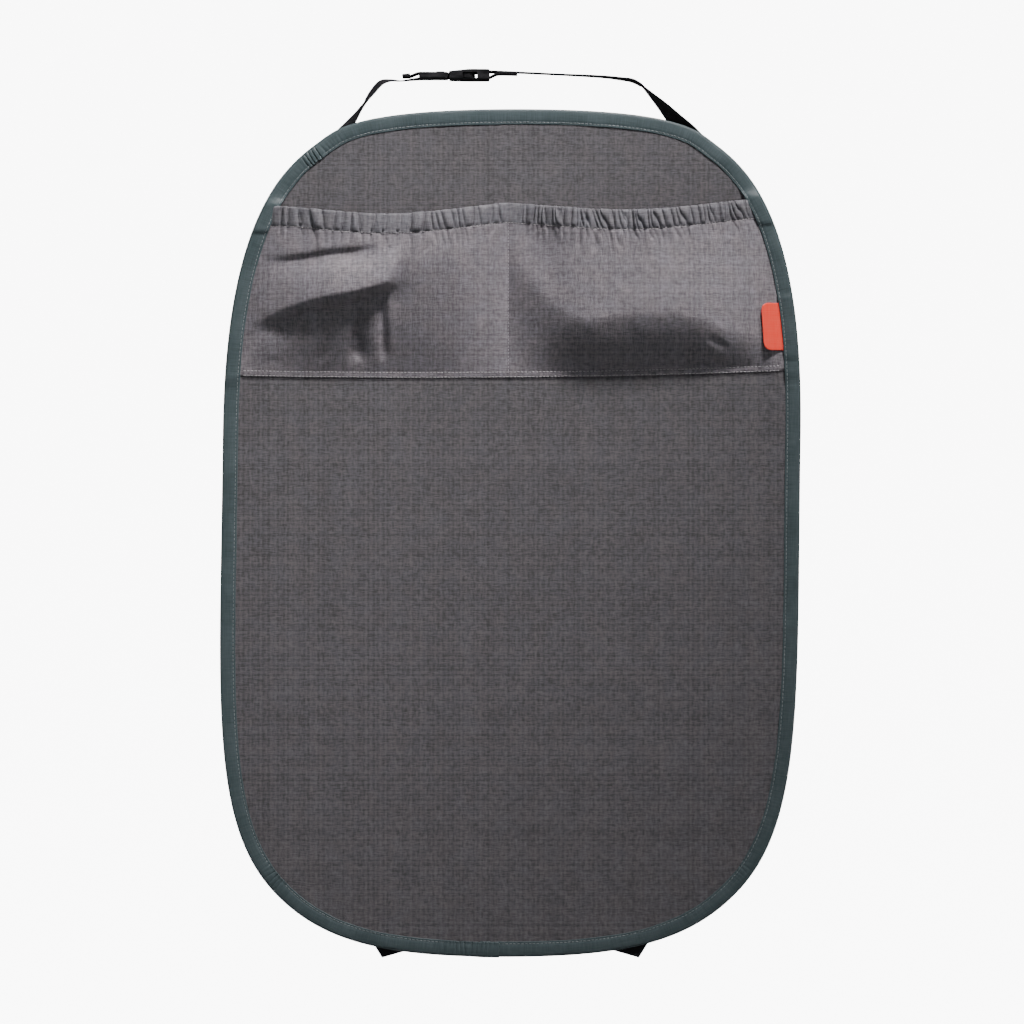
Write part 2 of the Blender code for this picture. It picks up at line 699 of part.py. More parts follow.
def make_top_strap_right(collection, material):
    """Webbing from the right shoulder to the socket, looped round its end bar and sewn back."""
    bar_x = BUCKLE_X + CLIP_LENGTH + SOCKET_GAP + SOCKET_LENGTH - SOCKET_END_BAR / 2
    radius = SOCKET_BAR_HALF + GAP + STRAP_THICK / 2
    bar_z = BUCKLE_Z + SOCKET_BAR_LIFT
    run = smooth_route(
        (
            (bar_x + 0.0020, BUCKLE_Y, bar_z + radius, 0.0),
            (0.0020, BUCKLE_Y, BUCKLE_Z + 0.0028, 0.0),
            (0.0350, BUCKLE_Y, BUCKLE_Z + 0.0013, 0.0),
            (0.0690, BUCKLE_Y, BUCKLE_Z - 0.0004, 0.0),
            by_shoulder(1, 0.0743, 0.0562, BUCKLE_Y, 6.0),
            by_shoulder(1, 0.0663, 0.0549, BUCKLE_Y, 8.0),
            by_shoulder(1, 0.0603, 0.0519, BUCKLE_Y + 0.0001, 4.0),
            by_shoulder(1, 0.0563, 0.0487, BUCKLE_Y + 0.0004, 0.0),
            by_shoulder(1, 0.0433, 0.0357, behind_tape_y(-38.0), -38.0),
            by_shoulder(1, 0.0313, 0.0217, behind_tape_y(-68.0), -68.0),
            by_shoulder(1, 0.0203, 0.0077, CROSSING_WEB_Y, -90.0),
            by_shoulder(1, 0.0113, -0.0058, CROSSING_WEB_Y, -90.0),
            by_shoulder(1, 0.0048, -0.0183, CROSSING_WEB_Y, -90.0),
            by_shoulder(1, -0.0002, -0.0293, SEWN_WEB_Y, -90.0),
        ),
        4,
    )
    loop = turn_stations(bar_x - SOCKET_END_BAR / 2 + TURN_INSET, bar_z, radius, 270.0, 90.0, 8)
    back = [
        (bar_x + 0.0065, BUCKLE_Y, bar_z, 0.0),
        (bar_x + 0.0020, BUCKLE_Y, bar_z - radius, 0.0),
    ]
    below = STRAP_THICK + 2 * GAP
    sewn = [
        (bar_x + STRAP_SEWN_BACK, BUCKLE_Y, BUCKLE_Z + 0.0028 - below, 0.0),
        (bar_x + STRAP_SEWN_END, BUCKLE_Y, bar_z + radius - below - 0.0001, 0.0),
    ]
    rows = ribbon_rows(sewn + back + loop + list(run), STRAP_WIDTH)
    return strip_object("top_strap_right", rows, STRAP_THICK, collection, material)


def box_mesh(name, low, high):
    """A box between two corners, as a mesh."""
    made = bmesh.new()
    bmesh.ops.create_cube(made, size=1.0)
    low, high = Vector(low), Vector(high)
    for vert in made.verts:
        vert.co = Vector((low[i] + (vert.co[i] + 0.5) * (high[i] - low[i]) for i in range(3)))
    mesh = bpy.data.meshes.new(name)
    made.to_mesh(mesh)
    made.free()
    return mesh


def buckle_box(name, start, end, half_width, bottom, top, collection, material=None):
    """A box of the buckle, by its distances from the middle of the buckle's left end."""
    mesh = box_mesh(name, (start, -half_width, bottom), (end, half_width, top))
    made = object_from_mesh(name, mesh, collection, material)
    made.location = BUCKLE_PLACE
    return made


def cutter(item):
    """Make an object a helper that is not part of the model."""
    item.hide_render = True
    item.display_type = "WIRE"
    return item


def combine(target, other, operation):
    """Join another solid to this one, or cut it away."""
    made = target.modifiers.new(other.name, "BOOLEAN")
    made.operation = operation
    made.object = other
    made.solver = "EXACT"


def round_edges(item, width, segments=2):
    """Round the sharp edges of a moulded piece."""
    made = item.modifiers.new("Rounded edges", "BEVEL")
    made.width = width
    made.segments = segments
    made.limit_method = "ANGLE"
    made.angle_limit = math.radians(50.0)
    made.use_clamp_overlap = True


def prong_outline(side):
    """Outline of one springy prong with its hook, as (along, across) from the clip's end."""
    inner = PRONG_CENTRE - PRONG_WIDTH / 2
    outer = PRONG_CENTRE + PRONG_WIDTH / 2
    tip = PRONG_LENGTH
    shoulder = PRONG_LENGTH - HOOK_LENGTH
    points = (
        (-PRONG_ROOT, inner - 0.0006),
        (0.0030, inner),
        (tip - 0.0020, inner + 0.0004),
        (tip, outer - 0.0008),
        (tip - 0.0008, outer + HOOK_REACH * 0.35),
        (tip - 0.0040, outer + HOOK_REACH),
        (shoulder + 0.0012, outer + HOOK_REACH),
        (shoulder, outer + HOOK_REACH * 0.8),
        (shoulder + 0.0004, outer),
        (0.0030, outer),
        (-PRONG_ROOT, outer + 0.0006),
    )
    return [(along, across * side) for along, across in points]


def outline_solid(name, points, bottom, top, start, collection):
    """A flat outline of the buckle made solid between two heights."""
    curve = bpy.data.curves.new(name, "CURVE")
    curve.dimensions = "2D"
    curve.fill_mode = "BOTH"
    curve.extrude = (top - bottom) / 2
    spline = curve.splines.new("POLY")
    spline.points.add(len(points) - 1)
    for place, (along, across) in zip(spline.points, points):
        place.co = (along, across, 0.0, 1.0)
    spline.use_cyclic_u = True
    drawn = bpy.data.objects.new(name + "_outline", curve)
    collection.objects.link(drawn)
    drawn.location = BUCKLE_PLACE + Vector((start, 0.0, (bottom + top) / 2))
    bpy.context.view_layer.update()
    graph = bpy.context.evaluated_depsgraph_get()
    mesh = bpy.data.meshes.new_from_object(drawn.evaluated_get(graph))
    welded = bmesh.new()
    welded.from_mesh(mesh)
    bmesh.ops.remove_doubles(welded, verts=welded.verts, dist=0.000001)
    bmesh.ops.recalc_face_normals(welded, faces=welded.faces)
    welded.to_mesh(mesh)
    welded.free()
    made = bpy.data.objects.new(name, mesh)
    made.matrix_world = drawn.matrix_world.copy()
    collection.objects.link(made)
    bpy.data.objects.remove(drawn)
    return cutter(made)


def make_buckle_clip(collection, cutters, material):
    """The pronged half: a ladder of bars for the webbing, a grip and two hooked prongs."""
    opening = WEB_SLOT_HALF
    first = CLIP_OUTER_BAR
    middle = first + CLIP_FIRST_SLOT
    second = middle + CLIP_MIDDLE_BAR
    body = second + CLIP_SECOND_SLOT
    half = CLIP_HALF_THICK
    clip = buckle_box("buckle_clip", 0.0, CLIP_LENGTH, CLIP_HALF_WIDTH, -half, half, collection, material)
    far = BUCKLE_CUT
    cuts = (
        buckle_box("cut_first_slot", first, middle, opening, -far, far, cutters),
        buckle_box("cut_second_slot", second, body, opening, -far, far, cutters),
        buckle_box("cut_over_bars", -far, body, opening, CLIP_BAR_HALF, far, cutters),
        buckle_box("cut_under_bars", -far, body, opening, -far, -CLIP_BAR_HALF, cutters),
    )
    round_edges(clip, CLIP_ROUNDING)
    for cut in cuts:
        combine(clip, cutter(cut), "DIFFERENCE")
    pad_start = body + CLIP_PAD_INSET
    pad_end = pad_start + CLIP_PAD_LENGTH
    pad_half = CLIP_HALF_WIDTH * CLIP_PAD_SHARE
    pad = buckle_box("clip_pad", pad_start, pad_end, pad_half, 0.0, half + CLIP_PAD_RISE, cutters)
    combine(clip, cutter(pad), "UNION")
    low, high = -PRONG_HALF_THICK, PRONG_HALF_THICK
    for side, name in ((1, "far"), (-1, "near")):
        prong = outline_solid("prong_" + name, prong_outline(side), low, high, CLIP_LENGTH, cutters)
        combine(clip, prong, "UNION")
    root = CLIP_LENGTH - PRONG_ROOT
    tip = CLIP_LENGTH + TONGUE_LENGTH
    low, high = -TONGUE_HALF_THICK, TONGUE_HALF_THICK
    tongue = buckle_box("clip_tongue", root, tip, TONGUE_HALF_WIDTH, low, high, cutters)
    combine(clip, cutter(tongue), "UNION")
    return clip


def make_buckle_socket(collection, cutters, material):
    """The hollow half: a mouth for the prongs, side windows for their hooks and a bar at its end."""
    start = CLIP_LENGTH + SOCKET_GAP
    end = start + SOCKET_LENGTH
    slot_end = end - SOCKET_END_BAR
    slot_start = slot_end - SOCKET_SLOT
    cavity_end = slot_start - SOCKET_WEB
    room = PRONG_HALF_THICK + BUCKLE_CLEAR
    low = SOCKET_LIFT - SOCKET_HALF_THICK
    high = SOCKET_LIFT + SOCKET_HALF_THICK
    socket = buckle_box("buckle_socket", start, end, SOCKET_HALF_WIDTH, low, high, collection, material)
    shape = bmesh.new()
    shape.from_mesh(socket.data)
    middle = start + SOCKET_LENGTH / 2
    whole = shape.verts[:] + shape.edges[:] + shape.faces[:]
    bmesh.ops.bisect_plane(shape, geom=whole, plane_co=(middle, 0, 0), plane_no=(1, 0, 0))
    for vert in shape.verts:
        if vert.co.x < middle - SOCKET_LENGTH / 4:
            vert.co.z = math.copysign(room + SOCKET_LIP, vert.co.z - SOCKET_LIFT)
        if vert.co.x > middle + SOCKET_LENGTH / 4:
            vert.co.y *= SOCKET_END_SHARE
    shape.to_mesh(socket.data)
    shape.free()
    round_edges(socket, SOCKET_ROUNDING)
    opening = WEB_SLOT_HALF
    window_start = CLIP_LENGTH + PRONG_LENGTH - HOOK_LENGTH - BUCKLE_CLEAR
    window_end = CLIP_LENGTH + PRONG_LENGTH + HOOK_ROOM
    far = BUCKLE_CUT
    bar_top = SOCKET_BAR_LIFT + SOCKET_BAR_HALF
    bar_bottom = SOCKET_BAR_LIFT - SOCKET_BAR_HALF
    cuts = (
        buckle_box("cut_cavity", start - far, cavity_end, SOCKET_INSIDE, -room, room, cutters),
        buckle_box("cut_windows", window_start, window_end, far, -room, room, cutters),
        buckle_box("cut_web_slot", slot_start, slot_end, opening, -far, far, cutters),
        buckle_box("cut_over_bar", slot_start, end + far, opening, bar_top, far, cutters),
        buckle_box("cut_under_bar", slot_start, end + far, opening, -far, bar_bottom, cutters),
    )
    for cut in cuts:
        combine(socket, cutter(cut), "DIFFERENCE")
    return socket


def fold_strip(along, across, lift, creases):
    """Fold a flat strip over its creases, the last one first, and give the point that results."""
    for place, slant, radius in reversed(creases):
        size = math.hypot(1.0, slant)
        normal = Vector((1.0 / size, -slant / size))
        crease = Vector((slant / size, 1.0 / size))
        offset = Vector((along - place, across))
        beyond = offset.dot(normal)
        if beyond <= 0.0:
            continue
        turned = beyond / radius
        if turned < math.pi:
            moved = (radius - lift) * math.sin(turned)
            lift = radius - (radius - lift) * math.cos(turned)
        else:
            moved = -(beyond - math.pi * radius)
            lift = 2.0 * radius - lift
        point = crease * offset.dot(crease) + normal * moved
        along, across = point.x + place, point.y
    return along, across, lift


def make_bottom_strap(collection):
    """The elastic strap, sewn on behind both lower corners and folded up flat behind the panel."""
    slant = math.tan(FOLD_TILT)
    first = SEWN_LENGTH
    second = first + LEG_LENGTH
    creases = ((first, slant, FOLD_RADIUS), (second, 1.0, FOLD_RADIUS))
    base = BEHIND_TAPE + STRAP_THICK / 2 + ELASTIC_CLEAR
    sewn_drop = base - SEWN_WEB_Y - ELASTIC_CLEAR / 2
    down = Vector((math.sin(2 * FOLD_TILT), -math.cos(2 * FOLD_TILT)))
    side = Vector((-down.y, down.x))
    start = Vector((-FOLD_X, FOLD_Z)) - down * SEWN_LENGTH

    def world(along, across):
        risen = smooth_step((along - SEWN_STITCH) / SEWN_RISE)
        lift = -sewn_drop * (1.0 - risen) if along < first else 0.0
        along, across, lift = fold_strip(along, across, lift, creases)
        flat = start + down * along + side * across
        return Vector((flat.x, base + lift, flat.y))

    stations = [(0.0, 0.0)]
    stations += [(SEWN_STITCH + SEWN_RISE * step / 3, 0.0) for step in range(4)]
    for place, lean_of_row, radius in creases:
        turn = math.pi * radius * math.hypot(1.0, lean_of_row)
        stations += [(place + turn * step / 6, lean_of_row) for step in range(7)]
    reach = world(second + 0.05, 0.0).x
    stations.append((second + 0.05 - reach, 0.0))
    half = ELASTIC_WIDTH / 2
    rows = []
    for along, lean_of_row in stations:
        rows.append([world(along + across * lean_of_row, across) for across in (-half, half)])
    for point in rows[-1]:
        point.x = 0.0
    material = new_material("strap_elastic", (0.02, 0.02, 0.022), 0.8)
    return strip_object("bottom_strap", rows, STRAP_THICK, collection, material, mirror=True)


def main():
    """Make the whole seat protector."""
    clear_scene()
    scene = bpy.context.scene
    parts = new_collection("car_seat_protector", scene.collection)
    cutters = new_collection("cutters", scene.collection)
    webbing = new_material("webbing", (0.02, 0.02, 0.022), 0.75)
    plastic = new_material("buckle_plastic", (0.015, 0.015, 0.016), 0.35)
    make_back_panel(parts)
    make_pocket_panel(parts)
    make_pocket_elastic(parts)
    make_edge_binding(parts)
    make_side_label(parts)
    make_top_strap_left(parts, webbing)
    make_top_strap_right(parts, webbing)
    make_buckle_clip(parts, cutters, plastic)
    make_buckle_socket(parts, cutters, plastic)
    make_bottom_strap(parts)


main()
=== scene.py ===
"""Looks of the car seat protector: woven cloth, gathered pockets, bound edge, webbing and buckle.

Metres, in the model's own frame: X runs to the right as the front is seen, the front faces -Y.
"""

import math

import bpy
import numpy as np
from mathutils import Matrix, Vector

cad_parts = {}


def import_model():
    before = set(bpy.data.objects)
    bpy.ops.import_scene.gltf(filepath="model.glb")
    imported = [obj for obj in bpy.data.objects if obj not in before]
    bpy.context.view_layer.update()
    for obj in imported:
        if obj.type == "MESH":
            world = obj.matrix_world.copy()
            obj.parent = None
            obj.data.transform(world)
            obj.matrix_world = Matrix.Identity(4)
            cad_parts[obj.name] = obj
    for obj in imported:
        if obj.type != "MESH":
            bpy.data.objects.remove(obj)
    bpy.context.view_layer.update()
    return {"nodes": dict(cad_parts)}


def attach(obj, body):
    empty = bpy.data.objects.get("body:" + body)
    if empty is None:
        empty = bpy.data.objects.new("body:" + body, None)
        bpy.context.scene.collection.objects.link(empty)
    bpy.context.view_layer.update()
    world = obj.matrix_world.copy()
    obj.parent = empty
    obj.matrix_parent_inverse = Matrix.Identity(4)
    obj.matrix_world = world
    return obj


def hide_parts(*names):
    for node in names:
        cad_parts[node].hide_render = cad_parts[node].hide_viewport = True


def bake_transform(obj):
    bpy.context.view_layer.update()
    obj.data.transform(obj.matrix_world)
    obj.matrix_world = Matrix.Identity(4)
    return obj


# Camera, at the level and distance of the photograph
CAMERA_DISTANCE = 4.0
CAMERA_SPAN = 0.7885
CAMERA_X = 0.0012
CAMERA_Z = 0.0162
SENSOR_WIDTH = 36.0

# Room: the wall glows behind the model, between shares of its radius, and the floor far from it
ROOM_CORNERS = 96
WALL_RADIUS = 8.0
WALL_HALF_HEIGHT = 1.5
WALL_COLOUR = (0.7, 0.7, 0.7)
WALL_LIGHT = 0.16
BACKDROP_LIGHT = 9.0
BACKDROP_SHARES = (0.86, 0.985)
FLOOR_Z = -1.5
FLOOR_COLOUR = (0.5, 0.5, 0.51)
FLOOR_LIGHT = 0.04
FAR_FLOOR_LIGHT = 0.14
FAR_FLOOR = (2.0, 4.2)
WORLD_COLOUR = (0.018, 0.022, 0.026, 1.0)

# Lights: name, place, aim, size, power, colour and spread in degrees
LIGHTS = (
    ("key", (0.62, -1.20, 2.30), (-0.08, 0.0, 0.28), (0.5, 0.5), 5.7, (1.0, 0.955, 0.96), 34.0),
    ("left", (-1.2, -0.9, 0.4), (-0.05, 0.0, 0.0), (0.4, 0.8), 0.42, (0.85, 0.93, 1.0), 140.0),
    ("right", (1.2, -0.9, 0.4), (0.05, 0.0, 0.0), (0.4, 0.8), 0.30, (0.85, 0.93, 1.0), 140.0),
)

# Dark and light colour of each material
PANEL_COLOURS = ((0.052, 0.050, 0.054), (0.121, 0.116, 0.123))
POCKET_COLOURS = ((0.100, 0.094, 0.104), (0.233, 0.217, 0.234))
# The hem is the pocket's own cloth; its darker, bluer colours are painted shade for a hem that leans
# back from the light
HEM_SHADED_COLOURS = ((0.078, 0.078, 0.087), (0.184, 0.182, 0.197))
TAPE_COLOURS = ((0.037, 0.056, 0.060), (0.070, 0.096, 0.102))
WEB_COLOURS = ((0.012, 0.012, 0.014), (0.045, 0.044, 0.047))
ELASTIC_COLOURS = ((0.010, 0.010, 0.012), (0.040, 0.039, 0.042))
LABEL_COLOURS = ((0.98, 0.056, 0.033), (1.0, 0.095, 0.060))
PLASTIC_COLOURS = ((0.010, 0.010, 0.011), (0.030, 0.030, 0.032))
BINDING_THREAD = (0.22, 0.25, 0.26)
POCKET_THREAD = (0.46, 0.44, 0.46)

# Weave: pitch of the yarns, length of their uneven stretches, how often a lighter one comes, and
# the distances between ribs. A wave texture of scale 1 has 20 bands in a turn
YARN_PITCH = 0.00077
SLUB_LENGTH = 0.0070
ACCENT_YARNS = 5.0
TAPE_RIB = 0.0006
WEB_RIB = 0.0013
ELASTIC_RIB = 0.0010
WAVE_TURN = 2.0 * math.pi / 20.0

# Cloth layers, as depths in front of the seat's face, how far the panel waves, how far the mat's
# edge lies outside its solid, and where the panel's cloth ends inside that edge
PANEL_THICK = 0.0016
CLOTH_THICK = 0.0007
TAPE_THICK = 0.0008
LABEL_THICK = 0.0006
SEWN_DEPTH = 0.0023
PANEL_WAVE = 0.0004
EDGE_OUT = 0.0019
PANEL_INSET = 0.0022

# Binding: its depth over each layer, and how far it takes to climb there
TAPE_WIDTH = 0.0120
TAPE_ON_PANEL = 0.0019
TAPE_ON_POCKET = 0.0035
TAPE_ON_LABEL = 0.0043
TAPE_ON_HEM = 0.0050
TAPE_BEHIND = 0.0007
TAPE_RAMP = 0.0120
HEM_RAMP = 0.0080
TAPE_STITCH = 0.0103

# The binding's ends lap at the bottom, a little left of the middle
TAPE_LAP = 0.015
LAP_PLACE = 0.0045

# Shares of the tape's width at which its front and back legs have a line of points
FRONT_LEG = (1.0, 0.965, 0.92, 0.86, 0.76, 0.64, 0.50, 0.36, 0.22, 0.12, 0.055, 0.015)
BACK_LEG = (0.015, 0.06, 0.2, 0.5, 0.8, 0.9, 0.96)
STITCH_SHARE = 0.86
LEG_PITCH = 0.0013

# Tucks of the binding: the place (x, z), how far they spread along the edge, and their strength
TUCKS = (
    ((-0.1530, 0.2905), 0.0085, 1.0),
    ((-0.1340, 0.3015), 0.0070, 0.45),
    ((0.1400, 0.3020), 0.0065, 0.8),
    ((0.1590, 0.2870), 0.0055, 0.8),
    ((0.1790, 0.2640), 0.0045, 0.35),
    ((-0.1830, 0.2560), 0.0040, 0.25),
    ((-0.2150, 0.1250), 0.0040, 0.3),
    ((-0.1860, -0.2700), 0.0110, 0.35),
    ((0.1880, -0.2650), 0.0090, 0.2),
    ((-0.0300, -0.3250), 0.0220, 0.40),
)
TUCK_PITCH = 0.0036

# Relief of the binding: its crown, the line of stitches, the creases and slack of the tucks, how
# far its edge wanders and how far one end steps out over the other
TAPE_CROWN = 0.00035
STITCH_SUNK = 0.00035
TUCK_DEPTH = 0.0016
TUCK_SLACK = 0.0009
TAPE_WANDER = 0.00022
LAP_STEP = 0.0010

# Pocket: its seam and upper edge are given by height, slope and bend
DIVIDER_X = -0.0016
POCKET_TUCK = 0.0030
POCKET_SIDE = 0.0120
SEAM_Z = 0.1238
SEAM_SLOPE = 0.0090
SEAM_BEND = 0.07
SEAM_BAND = 0.0042
HEM_Z = 0.2540
HEM_SLOPE = 0.0165
HEM_DIP = 0.0080
HEM_HALVES = (0.176, 0.190)
HEM_HEIGHT = 0.0150
HEM_GAP = 0.0004
HEM_PUFF = 0.0046
HEM_SUNK = 0.60

# The hem's section: height, side (1 front, -1 back) and share of the puff
HEM_SECTION = (
    (0.02, 0.12, 0.0), (0.05, 0.35, 0.35), (0.12, 0.7, 0.8), (0.22, 0.9, 1.0), (0.34, 1.0, 1.0),
    (0.46, 1.0, 0.95), (0.58, 1.0, 0.9), (0.70, 0.97, 0.85), (0.81, 0.9, 0.75), (0.90, 0.75, 0.6),
    (0.965, 0.45, 0.4), (1.0, 0.0, 0.15), (0.97, -0.5, -0.1), (0.88, -0.8, -0.3), (0.6, -0.95, -0.5),
    (0.3, -0.95, -0.4), (0.06, -0.6, -0.1),
)

# Gathers: the pitch of the ridges up to each place across, their lean and how far down they reach
GATHER_PITCHES = ((-0.070, 0.0082), (-0.010, 0.0062), (0.230, 0.0046))
GATHER_START = -0.23
GATHER_LEAN = 0.30
GATHER_REACH = 0.0100
GATHER_RISE = 0.0024
GATHER_SINK = 0.0010

# How the pockets stand out: places from the divider (0) to the side (1), and at each of them the
# greatest depth in millimetres, the height of the belly line as a share of the pocket's height,
# the share of the depth left at the hem, and how the cloth swells up to that line (1 is straight)
RIGHT_PLACES = (0.0, 0.04, 0.10, 0.20, 0.30, 0.40, 0.50, 0.60, 0.70, 0.80, 0.90, 1.0)
RIGHT_DEPTHS = (0.0, 6.0, 13.0, 20.0, 24.5, 25.5, 25.5, 24.5, 21.5, 14.5, 7.0, 0.0)
RIGHT_BELLY = (0.60, 0.60, 0.56, 0.42, 0.37, 0.40, 0.40, 0.39, 0.34, 0.26, 0.22, 0.22)
RIGHT_TOP = (0.10, 0.16, 0.34, 0.80, 0.86, 0.88, 0.88, 0.85, 0.80, 0.76, 0.70, 0.7)
RIGHT_SWELL = 1.45
LEFT_PLACES = (0.0, 0.04, 0.10, 0.20, 0.30, 0.38, 0.43, 0.48, 0.55, 0.63, 0.70, 0.80, 0.90, 1.0)
LEFT_DEPTHS = (0.0, 4.0, 9.5, 17.5, 22.0, 23.5, 23.0, 23.5, 23.5, 23.0, 21.5, 16.0, 9.0, 0.0)
LEFT_BELLY = (0.90, 0.86, 0.84, 0.84, 0.84, 0.82, 0.80, 0.61, 0.57, 0.53, 0.50, 0.44, 0.36, 0.30)
LEFT_TOP = (0.95, 0.95, 0.95, 0.95, 0.96, 0.94, 0.90, 0.66, 0.62, 0.62, 0.64, 0.70, 0.74, 0.74)
LEFT_SWELL = (1.45, 1.45, 1.45, 1.45, 1.45, 1.45, 1.40, 1.0, 1.0, 1.0, 1.0, 1.0, 1.1, 1.2)

# The left pocket's step, from the drawn-in cloth below to the ridge above: its height, its place
# as a share of the pocket's height, and how far the cloth takes to climb it
STEP_DEPTHS = (0.0, 0.0, 0.0, 0.0, 0.0, 0.0, 1.0, 7.5, 8.0, 8.0, 7.5, 6.0, 3.5, 0.0)
STEP_PLACES = (0.55, 0.55, 0.56, 0.58, 0.62, 0.63, 0.63, 0.60, 0.56, 0.52, 0.49, 0.43, 0.34, 0.26)
STEP_WIDTH = 0.105

# Folds of the pocket cloth: the deepest line, the depth in millimetres, and how far the cloth
# takes to rise again above and below it
FOLDS = (
    (((-0.192, 0.2078), (-0.170, 0.2087), (-0.154, 0.2106), (-0.139, 0.2132), (-0.123, 0.2146),
      (-0.108, 0.2164), (-0.096, 0.2190)), 4.0, 0.0036, 0.0095),
    (((-0.203, 0.1560), (-0.186, 0.1605), (-0.168, 0.1650), (-0.146, 0.1690), (-0.125, 0.1730),
      (-0.109, 0.1775), (-0.095, 0.1825), (-0.080, 0.1880)), 4.5, 0.0050, 0.0120),
    (((-0.110, 0.1790), (-0.116, 0.1540), (-0.1180, 0.1260)), 6.0, 0.0056, 0.0056),
    (((-0.099, 0.1900), (-0.0975, 0.1560), (-0.0965, 0.1260)), 4.0, 0.0036, 0.0036),
    (((-0.136, 0.1560), (-0.142, 0.1400), (-0.150, 0.1290)), 1.6, 0.0040, 0.0040),
    (((-0.199, 0.1290), (-0.173, 0.1325)), 1.8, 0.0030, 0.0030),
    (((-0.0735, 0.2100), (-0.0605, 0.2215)), 0.5, 0.0016, 0.0016),
    (((-0.0185, 0.2280), (-0.0090, 0.2380)), 0.6, 0.0016, 0.0016),
    (((0.0535, 0.2430), (0.0530, 0.2150)), 1.6, 0.0014, 0.0014),
    (((0.0580, 0.2430), (0.0576, 0.2190)), 1.3, 0.0012, 0.0012),
    (((0.0655, 0.2430), (0.0640, 0.2130)), 2.2, 0.0024, 0.0024),
    (((0.1500, 0.1510), (0.1690, 0.1410)), 1.6, 0.0034, 0.0034),
)

# Label
LABEL_LOW = (0.1937, 0.1405)
LABEL_SIZE = (0.0215, 0.0365)
LABEL_CORNER = 0.0058
LABEL_LIFT = 0.0022
LABEL_TILT = math.radians(4.0)

# Stitches: pitch, length and radius of each row, and their rings (place, size and lift)
EDGE_STITCH = (0.0030, 0.0025, 0.00030)
EDGE_STITCH_BEHIND = (0.0030, 0.0024, 0.00024)
SEAM_STITCH = (0.0028, 0.0021, 0.00038)
HEM_STITCH = (0.0025, 0.0019, 0.00026)
DIVIDER_STITCH = (0.0026, 0.0018, 0.00018)
STITCH_RINGS = ((-0.50, 0.55, -0.9), (-0.36, 1.0, 0.25), (0.36, 1.0, 0.25), (0.50, 0.55, -0.9))
STITCH_SIDES = 6

# Webbing and buckle, on the same places as the solids; the bars are given from BUCKLE
STRAP_WIDTH = 0.0200
STRAP_THICK = 0.0010
BUCKLE = (-0.0705, 0.0100, 0.3527)
CLIP_BAR = (0.0080, 0.0)
CLIP_TURN = 0.0021
SOCKET_BAR = (0.0528, 0.0010)
SOCKET_TURN = 0.0022
SHOULDER = (0.1603, 0.2943)
SEWN_WEB_Y = 0.0008
CROSSING_WEB_Y = 0.0022

# Section of the webbing, as shares of its width and thickness
WEB_SECTION = (
    (-0.50, 0.0), (-0.494, 0.34), (-0.47, 0.52), (-0.44, 0.50), (-0.40, 0.42), (-0.30, 0.47),
    (-0.15, 0.50), (0.0, 0.47), (0.15, 0.50), (0.30, 0.47), (0.40, 0.42), (0.44, 0.50),
    (0.47, 0.52), (0.494, 0.34), (0.50, 0.0), (0.494, -0.34), (0.47, -0.52), (0.44, -0.50),
    (0.40, -0.42), (0.30, -0.47), (0.15, -0.50), (0.0, -0.47), (-0.15, -0.50), (-0.30, -0.47),
    (-0.40, -0.42), (-0.44, -0.50), (-0.47, -0.52), (-0.494, -0.34),
)

# Bottom strap: where it is sewn on, its slant, its legs between folds, and its depth
BOTTOM_START = (-0.0875, 0.0046 - 0.3265)
BOTTOM_TILT = math.radians(16.0)
BOTTOM_LEGS = (0.0700, 0.0560)
BOTTOM_TURN = 0.0016
BOTTOM_WIDTH = 0.0250
BOTTOM_Y = 0.0021


def smooth(value):
    """Go from 0 to 1 with level ends."""
    t = np.clip(value, 0.0, 1.0)
    return t * t * (3.0 - 2.0 * t)


def unit(vectors):
    """Rows of vectors, each with length 1."""
    return vectors / np.linalg.norm(vectors, axis=1)[:, None]


def travelled(points):
    """Length along a line of points, at each of them."""
    steps = np.linalg.norm(np.diff(points, axis=0), axis=1)
    return np.concatenate(([0.0], np.cumsum(steps)))


def spline(p0, p1, p2, p3, t):
    """A smooth curve from p1 to p2, with its neighbours on both sides."""
    square = (2 * p0 - 5 * p1 + 4 * p2 - p3) * t**2
    cube = (3 * p1 - p0 - 3 * p2 + p3) * t**3
    return 0.5 * (2 * p1 + (p2 - p0) * t + square + cube)


def random_field(seed):
    """A smooth random function of the plane, between -1 and 1, with one knot for each unit."""
    size = 64
    table = np.random.default_rng(seed).uniform(-1.0, 1.0, (size, size))

    def at(u, v):
        column, row = np.floor(u).astype(int), np.floor(v).astype(int)
        s, t = smooth(u - column), smooth(v - row)
        left, right = column % size, (column + 1) % size
        low, high = row % size, (row + 1) % size
        lower = table[low, left] * (1 - s) + table[low, right] * s
        upper = table[high, left] * (1 - s) + table[high, right] * s
        return lower * (1 - t) + upper * t

    return at


def through(knots, values, at):
    """A smooth curve through values at knots, for every place asked; values may differ by place."""
    knots = np.asarray(knots, float)
    values = np.asarray(values, float)
    if values.ndim == 1:
        values = np.repeat(values[:, None], len(at), axis=1)
    slopes = np.gradient(values, knots, axis=0)
    cell = np.clip(np.searchsorted(knots, at, side="right") - 1, 0, len(knots) - 2)
    width = knots[cell + 1] - knots[cell]
    t = np.clip((at - knots[cell]) / width, 0.0, 1.0)
    pick = np.arange(len(at))
    start, end = values[cell, pick], values[cell + 1, pick]
    leave, arrive = slopes[cell, pick] * width, slopes[cell + 1, pick] * width
    square, cube = t * t, t * t * t
    return (
        (2 * cube - 3 * square + 1) * start
        + (cube - 2 * square + t) * leave
        + (3 * square - 2 * cube) * end
        + (cube - square) * arrive
    )


